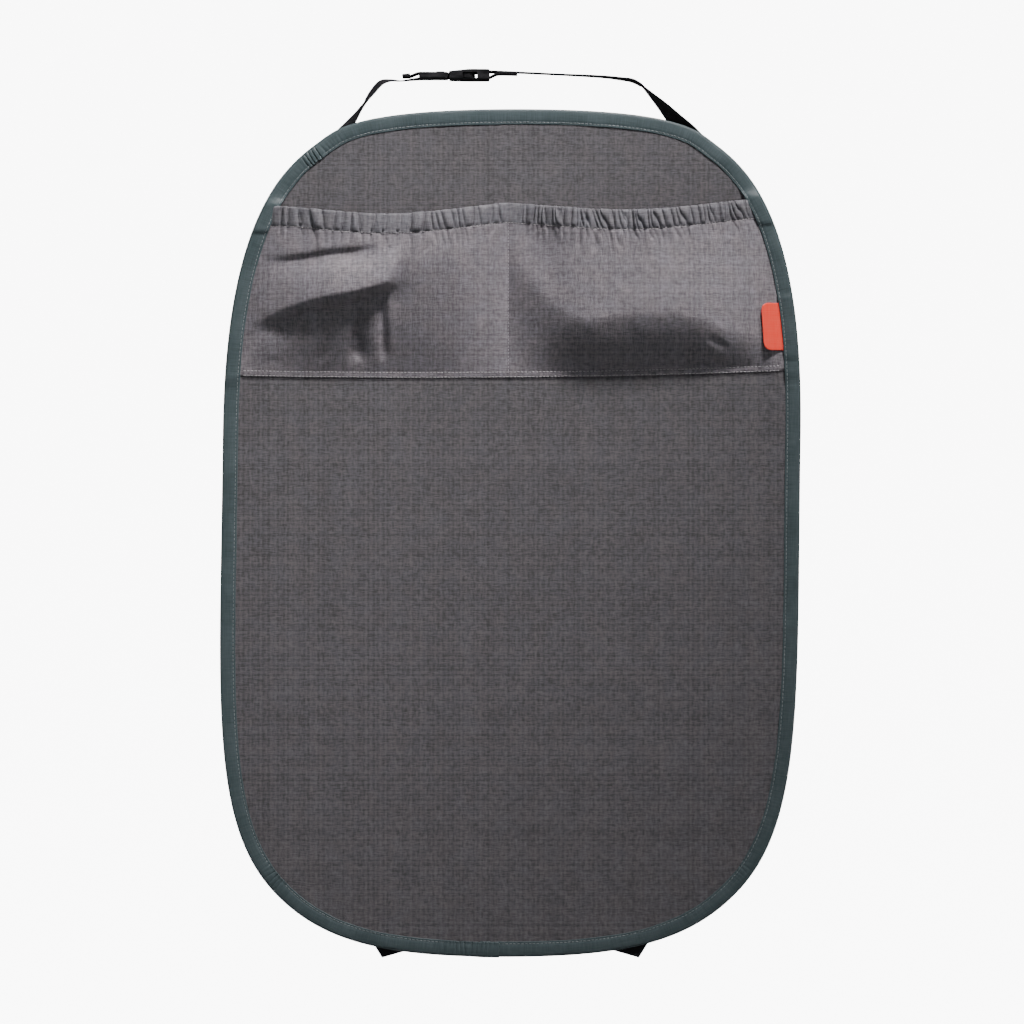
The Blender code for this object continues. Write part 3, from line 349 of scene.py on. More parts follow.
def belly(share, height, places, depths, lines, tops, swell):
    """Depth of a pocket that bellies out from its seam and comes in a little towards its hem."""
    line = through(places, lines, share)
    top = through(places, tops, share)
    rising = 1.0 - (1.0 - np.clip(height / line, 0.0, 1.0)) ** np.maximum(swell, 1.0)
    falling = 1.0 - (1.0 - top) * smooth((height - line) / (1.0 - line))
    return through(places, depths, share) * np.where(height < line, rising, falling)


def bound_edge(panel):
    """The outline of the bound edge, from the corners of the panel's solid, as a dense line.

    It starts at the bottom centre and runs anticlockwise as the front is seen.
    """
    corners = np.array([vert.co[:] for vert in panel.data.vertices])
    front = corners[corners[:, 1] < corners[:, 1].min() + 0.0002][:, (0, 2)]
    front = np.unique(np.round(front, 6), axis=0)
    angle = np.arctan2(front[:, 0], -front[:, 1])
    ring = front[np.argsort(angle)]
    ring = np.roll(ring, -int(np.argmin(np.abs(np.sort(angle)))), axis=0)
    steps = np.linspace(0.0, 1.0, 24, endpoint=False)[:, None]
    dense = []
    for i in range(len(ring)):
        near = [ring[(i + k) % len(ring)] for k in (-1, 0, 1, 2)]
        dense.append(spline(*near, steps))
    line = np.vstack(dense)
    return line - inward_of(line) * EDGE_OUT


def inward_of(line):
    """Inward normals of a closed anticlockwise line."""
    tangent = unit(np.roll(line, -12, axis=0) - np.roll(line, 12, axis=0))
    return np.column_stack((-tangent[:, 1], tangent[:, 0]))


class Outline:
    """The bound edge, asked for by the length along it or by height."""

    def __init__(self, panel):
        line = bound_edge(panel)
        closed = np.hstack((line, inward_of(line)))
        closed = np.vstack((closed, closed[:1]))
        self.columns = closed.T
        self.along = travelled(closed[:, :2])
        self.length = float(self.along[-1])
        top = int(np.argmax(line[:, 1]))
        self.right = line[: top + 1]
        self.left = line[top:][::-1]

    def at(self, lengths, inset=0.0):
        """Points at lengths along the edge, a distance in from it."""
        wrapped = np.mod(lengths, self.length)
        x, z, in_x, in_z = (np.interp(wrapped, self.along, column) for column in self.columns)
        return np.column_stack((x + in_x * inset, z + in_z * inset))

    def sides(self, z):
        """The left and right place of the edge at a height."""
        left = np.interp(z, self.left[:, 1], self.left[:, 0])
        right = np.interp(z, self.right[:, 1], self.right[:, 0])
        return left, right


def seam_z(x):
    """Height of the upper of the two rows of stitches along the pocket's bottom."""
    return SEAM_Z + SEAM_SLOPE * x + SEAM_BEND * x * x


def hem_top_z(x):
    """Height of the pocket's upper edge, which dips between its sewn ends."""
    half = np.where(x < DIVIDER_X, *HEM_HALVES)
    across = np.clip(np.abs(x - DIVIDER_X) / half, 0.0, 1.0)
    return HEM_Z + HEM_SLOPE * x - HEM_DIP * np.sin(math.pi * across) ** 1.2


def stitch_z(x):
    """Height of the stitching under the hem."""
    return hem_top_z(x) - HEM_HEIGHT


def fold_depth(x, z):
    """How far the folds pull the pocket cloth in, in metres."""
    total = np.zeros_like(x)
    for line, depth, above, below in FOLDS:
        points = np.array(line)
        pieces = np.diff(points, axis=0)
        lengths = np.linalg.norm(pieces, axis=1)
        whole = lengths.sum()
        nearest = np.full_like(x, 1e9)
        signed = np.zeros_like(x)
        travelled = np.zeros_like(x)
        before = 0.0
        for start, piece, length in zip(points, pieces, lengths):
            way = piece / length
            along = np.clip((x - start[0]) * way[0] + (z - start[1]) * way[1], 0.0, length)
            off_x = x - start[0] - way[0] * along
            off_z = z - start[1] - way[1] * along
            distance = np.hypot(off_x, off_z)
            side = np.sign(way[0] * off_z - way[1] * off_x)
            nearer = distance < nearest
            nearest = np.where(nearer, distance, nearest)
            signed = np.where(nearer, side * distance, signed)
            travelled = np.where(nearer, before + along, travelled)
            before += length
        width = np.where(signed > 0, above, below)
        ends = smooth(travelled / (0.3 * whole)) * smooth((whole - travelled) / (0.3 * whole))
        total += 0.001 * depth * np.exp(-((nearest / width) ** 2)) * (0.15 + 0.85 * ends)
    return total


class Gathers:
    """Uneven ridges that the elastic draws into the hem, from 0 in a valley to 1 on a ridge."""

    def __init__(self):
        random = np.random.default_rng(7)
        places = [GATHER_START]
        while places[-1] < GATHER_PITCHES[-1][0]:
            x = places[-1]
            pitch = next(pitch for end, pitch in GATHER_PITCHES if x < end)
            places.append(x + pitch * random.uniform(0.6, 1.4))
        self.valleys = np.array(places)
        self.heights = random.uniform(0.5, 1.0, len(places))
        self.slants = random.uniform(-0.30, 0.30, len(places))
        self.reaches = random.uniform(0.25, 1.0, len(places))

    def at(self, x, rise):
        """Height of the ridges, and how far down each one runs, at a distance above the stitches."""
        leaning = np.interp(x, self.valleys, self.slants) - GATHER_LEAN * smooth((x - 0.02) / 0.05)
        shifted = x - leaning * rise
        cell = np.clip(np.searchsorted(self.valleys, shifted) - 1, 0, len(self.valleys) - 2)
        width = self.valleys[cell + 1] - self.valleys[cell]
        u = np.clip((shifted - self.valleys[cell]) / width, 0.0, 1.0)
        return (4.0 * u * (1.0 - u)) ** 0.5 * self.heights[cell], self.reaches[cell]


class Pocket:
    """Where the pocket cloth lies, from the outline of the mat."""

    def __init__(self, outline):
        self.outline = outline
        self.gathers = Gathers()
        self.fine = random_field(3)
        self.coarse = random_field(4)

    def edges(self, z, inset):
        """The left and right place of the cloth at a height, a distance in from the mat's edge."""
        left, right = self.outline.sides(z)
        return left + inset, right - inset

    def across(self, share, level):
        """Places and heights of shares from -1 to 1 across, on a line given by its height at x."""
        x = share * 0.2
        for _ in range(4):
            z = level(x)
            left, right = self.edges(z, POCKET_TUCK)
            reach = np.where(share < 0, DIVIDER_X - left, right - DIVIDER_X)
            x = DIVIDER_X + reach * share
        return x, z

    def stand(self, x, z):
        """How far the cloth stands in front of its sewn depth, folds included."""
        x, z = np.broadcast_arrays(np.asarray(x, float), np.asarray(z, float))
        shape = x.shape
        x, z = x.ravel(), z.ravel()
        left, right = self.edges(z, POCKET_SIDE)
        height = np.clip((z - seam_z(x)) / (stitch_z(x) - seam_z(x)), 0.0, 1.0)
        on_left = x < DIVIDER_X
        reach = np.where(on_left, DIVIDER_X - left, right - DIVIDER_X)
        share = np.clip(np.abs(x - DIVIDER_X) / reach, 0.0, 1.0)
        swell = through(LEFT_PLACES, LEFT_SWELL, share)
        depth = np.where(
            on_left,
            belly(share, height, LEFT_PLACES, LEFT_DEPTHS, LEFT_BELLY, LEFT_TOP, swell),
            belly(share, height, RIGHT_PLACES, RIGHT_DEPTHS, RIGHT_BELLY, RIGHT_TOP, RIGHT_SWELL),
        )
        step = through(LEFT_PLACES, STEP_DEPTHS, share)
        climbed = (height - through(LEFT_PLACES, STEP_PLACES, share)) / STEP_WIDTH + 0.5
        depth = depth + np.where(on_left, step * smooth(climbed), 0.0)
        depth = 0.001 * np.maximum(depth, 0.0)
        loose = smooth(depth / 0.006)
        depth = depth - fold_depth(x, z) * loose
        wave = 0.00030 * self.coarse(x / 0.020 + 3.1, z / 0.016)
        wave += 0.00012 * self.fine((x + z) / 0.0075, (z - 0.6 * x) / 0.012)
        depth = depth + wave * loose
        return np.maximum(depth, 0.0).reshape(shape)


def grid_faces(rows, columns, closed=False):
    """Faces of a grid of points stored row by row, closed round each row if asked."""
    across = np.arange(columns if closed else columns - 1)
    start = np.arange(rows - 1)[:, None] * columns
    first = start + across
    second = start + (across + 1) % columns
    return np.stack((first, second, second + columns, first + columns), axis=-1).reshape(-1, 4)


def add(name, data):
    """Put an object with its data in the scene."""
    made = bpy.data.objects.new(name, data)
    bpy.context.scene.collection.objects.link(made)
    return made


def new_object(name, points, faces, uv=None):
    """A smooth mesh in the scene from points, faces and, if given, cloth coordinates in metres."""
    mesh = bpy.data.meshes.new(name)
    mesh.from_pydata(np.asarray(points, float).reshape(-1, 3).tolist(), [], [list(f) for f in faces])
    if uv is not None:
        layer = mesh.uv_layers.new(name="Cloth")
        index = np.empty(len(mesh.loops), np.int32)
        mesh.loops.foreach_get("vertex_index", index)
        layer.data.foreach_set("uv", np.asarray(uv, np.float32).reshape(-1, 2)[index].ravel())
    mesh.shade_smooth()
    return add(name, mesh)


def finish_piece(item, material, thickness=0.0, body="mat"):
    """Dress a piece, let it ride on its body and give a bare surface its thickness."""
    item.data.materials.append(material)
    if body:
        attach(item, body)
    if thickness:
        solid = item.modifiers.new("Thickness", "SOLIDIFY")
        solid.thickness = thickness
        solid.offset = 0.0
        solid.use_rim = True


class Shader:
    """A surface's node tree, built node by node."""

    def __init__(self, name):
        self.material = bpy.data.materials.new(name)
        self.material.use_nodes = True
        self.tree = self.material.node_tree
        self.surface = self.tree.nodes["Principled BSDF"]

    def put(self, socket, value):
        """Link a socket to another one, or set its value."""
        if isinstance(value, bpy.types.NodeSocket):
            self.tree.links.new(value, socket)
        elif isinstance(value, tuple) and len(value) == 3 and socket.type == "RGBA":
            socket.default_value = (*value, 1.0)
        else:
            socket.default_value = value

    def node(self, kind, settings=(), inputs=(), output=0):
        """Add a node and give one of its outputs."""
        made = self.tree.nodes.new(kind)
        for key, value in dict(settings).items():
            setattr(made, key, value)
        for key, value in dict(inputs).items():
            self.put(made.inputs[key], value)
        return made.outputs[output]

    def maths(self, operation, first, second=0.0, third=0.0):
        """A step of arithmetic."""
        return self.node("ShaderNodeMath", {"operation": operation}, {0: first, 1: second, 2: third})

    def mix(self, share, first, second):
        """Mix two colours."""
        made = self.tree.nodes.new("ShaderNodeMix")
        made.data_type = "RGBA"
        self.put(made.inputs[0], share)
        self.put(made.inputs[6], first)
        self.put(made.inputs[7], second)
        return made.outputs[2]

    def coordinates(self, kind="Object"):
        """Coordinates in metres, of the model or of the cloth."""
        return self.tree.nodes.new("ShaderNodeTexCoord").outputs[kind]

    def place(self, scale, kind="Object", turn=(0.0, 0.0, 0.0)):
        """Coordinates scaled along each axis."""
        inputs = {"Vector": self.coordinates(kind), "Scale": scale, "Rotation": turn}
        return self.node("ShaderNodeMapping", (), inputs)

    def noise(self, scale, detail, kind="Object", turn=(0.0, 0.0, 0.0)):
        """Noise with a number of cells per metre along each axis."""
        inputs = {"Vector": self.place(scale, kind, turn), "Scale": 1.0, "Detail": detail}
        return self.node("ShaderNodeTexNoise", (), inputs)

    def ramp(self, value, low, high, start=0.0, end=1.0):
        """Map a value's range to another one."""
        inputs = {"Value": value, "From Min": low, "From Max": high, "To Min": start, "To Max": end}
        return self.node("ShaderNodeMapRange", (), inputs)

    def ribs(self, scale, turn=(0.0, 0.0, 0.0)):
        """Even bands across the first cloth coordinate."""
        inputs = {"Vector": self.place(scale, "UV", turn), "Scale": 1.0}
        settings = {"bands_direction": "X", "wave_profile": "SIN"}
        return self.node("ShaderNodeTexWave", settings, inputs, output=1)

    def yarns(self, across, along):
        """Shade and roundness of yarns that lie side by side along one axis and run along another."""
        place = self.tree.nodes.new("ShaderNodeSeparateXYZ")
        self.put(place.inputs[0], self.coordinates())
        counted = self.maths("DIVIDE", place.outputs[across], YARN_PITCH)
        number = self.maths("FLOOR", counted)
        own = self.node("ShaderNodeTexWhiteNoise", {"noise_dimensions": "1D"}, {"W": number})
        apart = self.maths("MULTIPLY", own, 900.0)
        run = self.maths("MULTIPLY_ADD", place.outputs[along], 1.0 / SLUB_LENGTH, apart)
        inputs = {"W": run, "Scale": 1.0, "Detail": 2.0}
        slub = self.node("ShaderNodeTexNoise", {"noise_dimensions": "1D"}, inputs)
        accent = self.maths("COSINE", self.maths("MULTIPLY", number, 2.0 * math.pi / ACCENT_YARNS))
        shade = self.maths("MULTIPLY_ADD", self.maths("SUBTRACT", own, 0.5), 0.22, slub)
        shade = self.maths("MULTIPLY_ADD", accent, 0.085, shade)
        round_top = self.maths("ABSOLUTE", self.maths("SINE", self.maths("MULTIPLY", counted, math.pi)))
        return shade, round_top

    def dress(self, colour, roughness, height, relief):
        """Set the surface's colour, roughness and relief (depth, strength) from a height."""
        inputs = {"Height": height, "Distance": relief[0], "Strength": relief[1]}
        self.put(self.surface.inputs["Base Color"], colour)
        self.put(self.surface.inputs["Roughness"], roughness)
        self.put(self.surface.inputs["Normal"], self.node("ShaderNodeBump", (), inputs))

    def sheen(self, specular, weight=0.0, tint=(1.0, 1.0, 1.0)):
        """Set the surface's constants of reflection, and give its material."""
        self.surface.inputs["Specular IOR Level"].default_value = specular
        self.surface.inputs["Sheen Weight"].default_value = weight
        self.surface.inputs["Sheen Tint"].default_value = (*tint, 1.0)
        return self.material


def woven_cloth(name, dark, light, roughness, specular):
    """Melange cloth: yarns of uneven shade run both ways, every fifth one a little lighter."""
    shader = Shader(name)
    warp, warp_round = shader.yarns(0, 2)
    weft, weft_round = shader.yarns(2, 0)
    blotch = shader.noise((45.0, 45.0, 45.0), 3.0)
    tone = shader.maths("MULTIPLY", shader.maths("ADD", warp, weft), 0.5)
    tone = shader.maths("MULTIPLY_ADD", shader.maths("SUBTRACT", blotch, 0.5), 0.2, tone)
    hue = shader.noise((70.0, 70.0, 70.0), 1.0, turn=(0.3, 0.5, 0.7))
    cool = tuple(c * f for c, f in zip(light, (0.98, 0.995, 1.025)))
    warm = tuple(c * f for c, f in zip(light, (1.025, 1.0, 0.99)))
    tinted = shader.mix(shader.ramp(hue, 0.35, 0.65), cool, warm)
    colour = shader.mix(shader.ramp(tone, 0.3, 0.7), dark, tinted)
    rough = shader.ramp(tone, 0.3, 0.7, roughness + 0.06, roughness - 0.06)
    height = shader.maths("MULTIPLY", shader.maths("MULTIPLY", warp_round, weft_round), 0.6)
    height = shader.maths("MULTIPLY_ADD", tone, 0.6, height)
    shader.dress(colour, rough, height, (0.00018, 1.0))
    return shader.sheen(specular, 0.12, (1.0, 0.9, 0.95))


def tape_cloth(name, dark, light):
    """Grosgrain tape: fine ribs run across it."""
    shader = Shader(name)
    along = shader.noise((1300.0, 90.0, 1.0), 2.0, "UV")
    across = shader.noise((70.0, 1400.0, 1.0), 2.0, "UV")
    cloudy = shader.noise((45.0, 60.0, 1.0), 3.0, "UV")
    ribs = shader.ribs((WAVE_TURN / TAPE_RIB, 1.0, 1.0))
    tone = shader.maths("MULTIPLY_ADD", along, 0.4, shader.maths("MULTIPLY", across, 0.3))
    tone = shader.maths("MULTIPLY_ADD", cloudy, 0.3, tone)
    colour = shader.mix(shader.ramp(tone, 0.36, 0.64), dark, light)
    height = shader.maths("MULTIPLY_ADD", ribs, 0.6, shader.maths("MULTIPLY", along, 0.4))
    shader.dress(colour, shader.ramp(cloudy, 0.3, 0.7, 0.45, 0.55), height, (0.0001, 0.5))
    return shader.sheen(0.3, 0.15, (0.7, 0.85, 0.85))


def web_cloth(name, dark, light, rib):
    """Webbing or ribbed elastic, with its ribs a distance apart and painted shade in its grooves."""
    shader = Shader(name)
    ribs = shader.ribs((WAVE_TURN / rib, 1.0, 1.0))
    cords = shader.ribs((1.0, WAVE_TURN / (rib * 1.3), 1.0), (0.0, 0.0, math.pi / 2))
    fuzz = shader.noise((900.0, 900.0, 1.0), 3.0, "UV")
    cords = shader.ramp(cords, 0.0, 1.0, 0.5, 1.0)
    height = shader.maths("MULTIPLY_ADD", ribs, cords, shader.maths("MULTIPLY", fuzz, 0.4))
    # The colour follows the relief: painted shade in the grooves between ribs and cords, with random
    # tone from the fuzz
    colour = shader.mix(shader.ramp(height, 0.2, 1.2), dark, light)
    shader.dress(colour, shader.ramp(fuzz, 0.3, 0.7, 0.77, 0.93), height, (0.0003, 0.8))
    return shader.sheen(0.0)


def thread_cloth(name, colour):
    """Sewing thread with a light twist."""
    shader = Shader(name)
    twist = shader.noise((2600.0, 2600.0, 2600.0), 1.0)
    dark = tuple(0.6 * c for c in colour)
    shader.dress(shader.mix(shader.ramp(twist, 0.3, 0.7), dark, colour), 0.55, twist, (0.0001, 0.5))
    return shader.sheen(0.5)


def label_cloth(name, dark, light):
    """Satin label cloth with a fine weft."""
    shader = Shader(name)
    weft = shader.noise((60.0, 60.0, 2600.0), 2.0)
    warp = shader.noise((2200.0, 60.0, 90.0), 2.0)
    tone = shader.maths("MULTIPLY_ADD", weft, 0.6, shader.maths("MULTIPLY", warp, 0.4))
    colour = shader.mix(shader.ramp(tone, 0.35, 0.65), dark, light)
    shader.dress(colour, shader.ramp(weft, 0.3, 0.7, 0.5, 0.6), tone, (0.00008, 0.6))
    return shader.sheen(0.25, 0.03)


def moulded_plastic(name, dark, light):
    """Moulded plastic with a fine erosion texture and faint flow marks."""
    shader = Shader(name)
    grain = shader.noise((3200.0, 3200.0, 3200.0), 2.0)
    flow = shader.noise((90.0, 220.0, 220.0), 3.0)
    colour = shader.mix(shader.ramp(flow, 0.35, 0.65), dark, light)
    shader.dress(colour, shader.ramp(flow, 0.3, 0.7, 0.42, 0.56), grain, (0.00006, 0.5))
    return shader.sheen(0.0)


def make_panel(outline, material):
    """The panel's cloth, with the slight waves of a soft sheet that hangs."""
    stations, rings = 480, 70
    edge = outline.at(np.arange(stations) * outline.length / stations, PANEL_INSET)
    shares = np.linspace(1.0, 0.0, rings, endpoint=False)[:, None, None]
    flat = edge[None, :, :] * shares
    x, z = flat[..., 0], flat[..., 1]
    waves = random_field(11)
    loose = smooth((1.0 - shares[..., 0]) / 0.12)
    depth = PANEL_THICK / 2 + PANEL_WAVE * loose * waves(x / 0.11 + 0.4, z / 0.19)
    depth = depth + 0.00005 * loose * waves(x / 0.021, z / 0.034)
    points = np.stack((x, -depth, z), axis=-1).reshape(-1, 3)
    middle = len(points)
    points = np.vstack((points, (0.0, -PANEL_THICK / 2, 0.0)))
    faces = grid_faces(rings, stations, closed=True).tolist()
    last = (rings - 1) * stations
    faces += [(last + i, last + (i + 1) % stations, middle) for i in range(stations)]
    item = new_object("panel_cloth", points, faces)
    finish_piece(item, material, PANEL_THICK * 0.9)
    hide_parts("back_panel")


def make_pocket(pocket, material):
    """The pocket's body between the bottom seam and the hem's stitches."""
    share, height = np.meshgrid(np.linspace(-1.0, 1.0, 433), np.linspace(0.0, 1.0, 104))
    x, z = pocket.across(share, lambda at: seam_z(at) + (stitch_z(at) - seam_z(at)) * height)
    stand = pocket.stand(x, z)
    rise = z - stitch_z(x)
    ridge, reach = pocket.gathers.at(x, rise)
    fade = np.exp(-((rise / (GATHER_REACH * (0.35 + reach))) ** 2)) * smooth(stand / 0.005)
    drawn = 1.0 - smooth(-rise / 0.0030)
    stand = stand + fade * (GATHER_RISE * ridge - GATHER_SINK) * (1.0 - 0.55 * drawn)
    y = -(SEWN_DEPTH + stand)
    band = np.array([1.0, 0.72, 0.45, 0.2])[:, None] * SEAM_BAND
    low_y = y[0][None, :] + 0.00040 * np.array([2.0, 0.9, -0.2, 0.1])[:, None]
    x = np.vstack((np.repeat(x[:1], len(band), axis=0), x))
    z = np.vstack((z[0][None, :] - band, z))
    y = np.vstack((low_y, y))
    points = np.stack((x, y, z), axis=-1)
    item = new_object("pocket_cloth", points, grid_faces(*x.shape))
    finish_piece(item, material, CLOTH_THICK)
    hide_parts("pocket_panel")


def hem_frame(pocket, x):
    """The hem's middle depth and forward normal at places across."""
    step = 0.0015
    depth = SEWN_DEPTH + HEM_GAP + pocket.stand(x, stitch_z(x))
    ahead = pocket.stand(x + step, stitch_z(x + step))
    behind = pocket.stand(x - step, stitch_z(x - step))
    slope = np.pad((ahead - behind) / (2 * step), 8, mode="edge")
    slope = np.convolve(slope, np.ones(17) / 17, "valid")
    size = np.hypot(slope, 1.0)
    return depth, -slope / size, 1.0 / size


def make_hem(pocket, material):
    """The folded hem round the elastic, drawn into uneven ridges."""
    shares = np.linspace(-1.0, 1.0, 901)
    rows = []
    for height, side, puff in HEM_SECTION:
        x, z = pocket.across(shares, lambda at: stitch_z(at) + HEM_HEIGHT * height)
        depth, turn_x, turn_y = hem_frame(pocket, x)
        loose = smooth((depth - SEWN_DEPTH - HEM_GAP) / 0.004)
        ridge, _ = pocket.gathers.at(x, z - stitch_z(x))
        out = 0.0008 * side * (0.6 + 0.4 * loose) + HEM_PUFF * puff * (ridge - HEM_SUNK) * loose
        z = z + 0.0008 * (ridge - 0.5) * loose * float(smooth((height - 0.8) / 0.2))
        rows.append(np.column_stack((x + turn_x * out, -(depth + turn_y * out), z)))
    item = new_object("pocket_hem", np.stack(rows), grid_faces(len(rows), len(shares)))
    finish_piece(item, material, CLOTH_THICK * 0.6)
    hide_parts("pocket_elastic")


def tape_depth(x, z):
    """Depth of the binding's front, which steps out over the pocket, the hem and the label."""

    def zone(low, high, depth, ramp=TAPE_RAMP):
        rise = np.minimum((z - low) / ramp + 1.0, (high - z) / ramp + 1.0)
        return TAPE_ON_PANEL + (depth - TAPE_ON_PANEL) * smooth(rise)

    depth = zone(seam_z(x) - SEAM_BAND, hem_top_z(x), TAPE_ON_POCKET)
    depth = np.maximum(depth, zone(stitch_z(x) - 0.002, hem_top_z(x) + 0.001, TAPE_ON_HEM, HEM_RAMP))
    label = zone(LABEL_LOW[1] - 0.003, LABEL_LOW[1] + LABEL_SIZE[1] + 0.003, TAPE_ON_LABEL)
    return np.where(x > 0, np.maximum(depth, label), depth)


def tuck_strength(x, z):
    """How strongly the binding is puckered at a place of the edge."""
    total = np.full_like(x, 0.05)
    for (at_x, at_z), spread, strength in TUCKS:
        total += strength * np.exp(-(((x - at_x) ** 2 + (z - at_z) ** 2) / spread**2))
    return total


def make_binding(outline, material):
    """The tape folded over the edge, stitched through, with tucks where it turns."""
    total = outline.length
    even = np.linspace(-TAPE_LAP, total, 8000) - LAP_PLACE
    middle = outline.at(even)
    closeness = np.cumsum(0.25 + tuck_strength(middle[:, 0], middle[:, 1]))
    lengths = np.interp(np.linspace(closeness[0], closeness[-1], 1900), closeness, even)
    middle = outline.at(lengths)
    pucker = tuck_strength(middle[:, 0], middle[:, 1])
    field = random_field(21)
    lapped = smooth((lengths + LAP_PLACE - (total - TAPE_LAP - 0.010)) / 0.014)
    profile = [(share, "front") for share in FRONT_LEG] + [(0.0, "edge")]
    profile += [(share, "back") for share in BACK_LEG]
    rows = []
    uv = []
    for row, (share, leg) in enumerate(profile):
        wander = TAPE_WANDER * field(lengths / 0.016, 0.3) * share
        wander = wander + pucker * 0.0009 * share**2 * field(lengths / 0.0042, 4.7)
        inset = TAPE_THICK / 2 + (TAPE_WIDTH - TAPE_THICK / 2) * share + wander - 0.0005 * lapped
        place = outline.at(lengths, inset)
        x, z = place[:, 0], place[:, 1]
        crown = math.sin(math.pi * share / STITCH_SHARE) if share < STITCH_SHARE else 0.0
        sewn = STITCH_SUNK * math.exp(-(((share - STITCH_SHARE) / 0.05) ** 2))
        fold = 0.25 + 0.75 * share
        sway = field(lengths / 0.0060, share * 0.9 + 9.0)
        creases = np.sin(lengths * math.pi / TUCK_PITCH + 1.5 * sway)
        creases = 1.35 - 1.65 * np.exp(-((creases / 0.36) ** 2))
        slow = field(lengths / 0.024, share * 0.8 + 2.0)
        bumps = TUCK_DEPTH * pucker * fold * creases + (0.00020 + TUCK_SLACK * pucker * fold) * slow
        nose = 1.0 - math.exp(-share / 0.03)
        if leg == "front":
            out = tape_depth(x, z) - PANEL_THICK / 2
            y = -(PANEL_THICK / 2 + out * nose + TAPE_CROWN * crown - sewn + bumps * nose)
            y = y - lapped * LAP_STEP + 0.0003 * float(smooth((share - 0.9) / 0.1))
        elif leg == "edge":
            y = np.full_like(x, -PANEL_THICK / 2)
        else:
            y = -PANEL_THICK / 2 + (TAPE_BEHIND + PANEL_THICK / 2) * nose + 0.0002 * crown - sewn * 0.4
            y = y + 0.3 * bumps * nose + lapped * (TAPE_THICK * nose)
        rows.append(np.column_stack((x, y, z)))
        uv.append(np.column_stack((lengths, np.full_like(lengths, row * LEG_PITCH))))
    faces = grid_faces(len(rows), len(lengths))
    item = new_object("binding_tape", np.stack(rows), faces, np.stack(uv))
    finish_piece(item, material, TAPE_THICK * 0.8)
    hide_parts("edge_binding")


def add_stitches(made, path, way, pitch, length, radius):
    """Add stitches along a path of points, in front of a surface (-1) or behind it (1)."""
    points, faces = made
    along = travelled(path)
    count = max(int(along[-1] / pitch), 1)
    centres = (np.arange(count) + 0.5) * along[-1] / count
    turns = np.arange(STITCH_SIDES) * 2 * math.pi / STITCH_SIDES

    def at(values):
        return np.column_stack([np.interp(values, along, path[:, k]) for k in range(3)])

    middle = at(centres)
    ahead = unit(at(centres + length * 0.3) - at(centres - length * 0.3))
    up = np.array((0.0, way, 0.0))
    up = unit(up - ahead * np.sum(up * ahead, axis=1)[:, None])
    side = np.cross(ahead, up)
    base = sum(len(block) for block in points)
    rings = []
    for place, size, lift in STITCH_RINGS:
        centre = middle + ahead * (place * length) + up * (lift * radius)
        for turn in turns:
            rings.append(centre + (up * math.cos(turn) + side * math.sin(turn)) * (size * radius))
    points.append(np.stack(rings, axis=1).reshape(-1, 3))
    each = len(STITCH_RINGS) * STITCH_SIDES
    wall = grid_faces(len(STITCH_RINGS), STITCH_SIDES, closed=True)
    caps = [list(range(STITCH_SIDES))[::-1], list(range(each - STITCH_SIDES, each))]
    for start in range(base, base + count * each, each):
        faces.extend((wall + start).tolist())
        faces.extend([[start + i for i in cap] for cap in caps])


def make_binding_stitches(outline, material):
    """The row of stitches that holds the binding, seen on both sides."""
    made = ([], [])
    place = outline.at(np.linspace(0.0, outline.length, 2400), TAPE_STITCH)
    front = -(tape_depth(place[:, 0], place[:, 1]) + TAPE_THICK * 0.4 - 0.0003)
    path = np.column_stack((place[:, 0], front, place[:, 1]))
    add_stitches(made, path, -1.0, *EDGE_STITCH)
    path[:, 1] = TAPE_BEHIND + TAPE_THICK * 0.4 - 0.0001
    add_stitches(made, path, 1.0, *EDGE_STITCH_BEHIND)
    item = new_object("binding_stitching", np.vstack(made[0]), made[1])
    finish_piece(item, material)


def make_pocket_stitches(pocket, material):
    """The rows of stitches of the hem, the bottom seam and the divider."""
    made = ([], [])

    def row(x, z, lift, stitch):
        left, right = pocket.edges(z, TAPE_WIDTH)
        keep = (x > left) & (x < right)
        depth = SEWN_DEPTH + CLOTH_THICK / 2 + lift + pocket.stand(x, z)
        add_stitches(made, np.column_stack((x, -depth, z))[keep], -1.0, *stitch)

    x = np.linspace(-0.206, 0.207, 900)
    row(x, seam_z(x), 0.0, SEAM_STITCH)
    row(x, seam_z(x) - SEAM_BAND * 0.86, 0.0, SEAM_STITCH)
    row(x, stitch_z(x), 0.0003, HEM_STITCH)
    z = np.linspace(float(seam_z(0.0)), float(stitch_z(DIVIDER_X)), 200)
    row(np.full_like(z, DIVIDER_X), z, 0.0, DIVIDER_STITCH)
    item = new_object("pocket_stitching", np.vstack(made[0]), made[1])
    finish_piece(item, material)


def make_label(pocket, material):
    """The blank tab, caught under the binding and lifting a little at its free edge."""
    across = np.linspace(0.0, 1.0, 30)
    up = np.linspace(-1.0, 1.0, 42)
    place, rise = np.meshgrid(across * LABEL_SIZE[0], up, indexing="ij")
    corner = np.maximum(LABEL_CORNER - place, 0.0)
    reach = LABEL_SIZE[1] / 2 - LABEL_CORNER + np.sqrt(np.maximum(LABEL_CORNER**2 - corner**2, 0.0))
    rise = rise * reach
    z = LABEL_LOW[1] + LABEL_SIZE[1] / 2 + rise
    x = LABEL_LOW[0] + place - rise * math.tan(LABEL_TILT)
    stands = pocket.stand(x, z)
    level = stands.mean(axis=1, keepdims=True)
    free = smooth(1.0 - place / 0.013)
    depth = SEWN_DEPTH + 0.0009 + 0.4 * stands + 0.6 * level + LABEL_LIFT * free
    depth = depth + 0.0006 * free * (rise / reach) ** 2
    points = np.stack((x, -depth, z), axis=-1)
    item = new_object("label", points, grid_faces(*x.shape))
    finish_piece(item, material, LABEL_THICK)
    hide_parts("side_label")


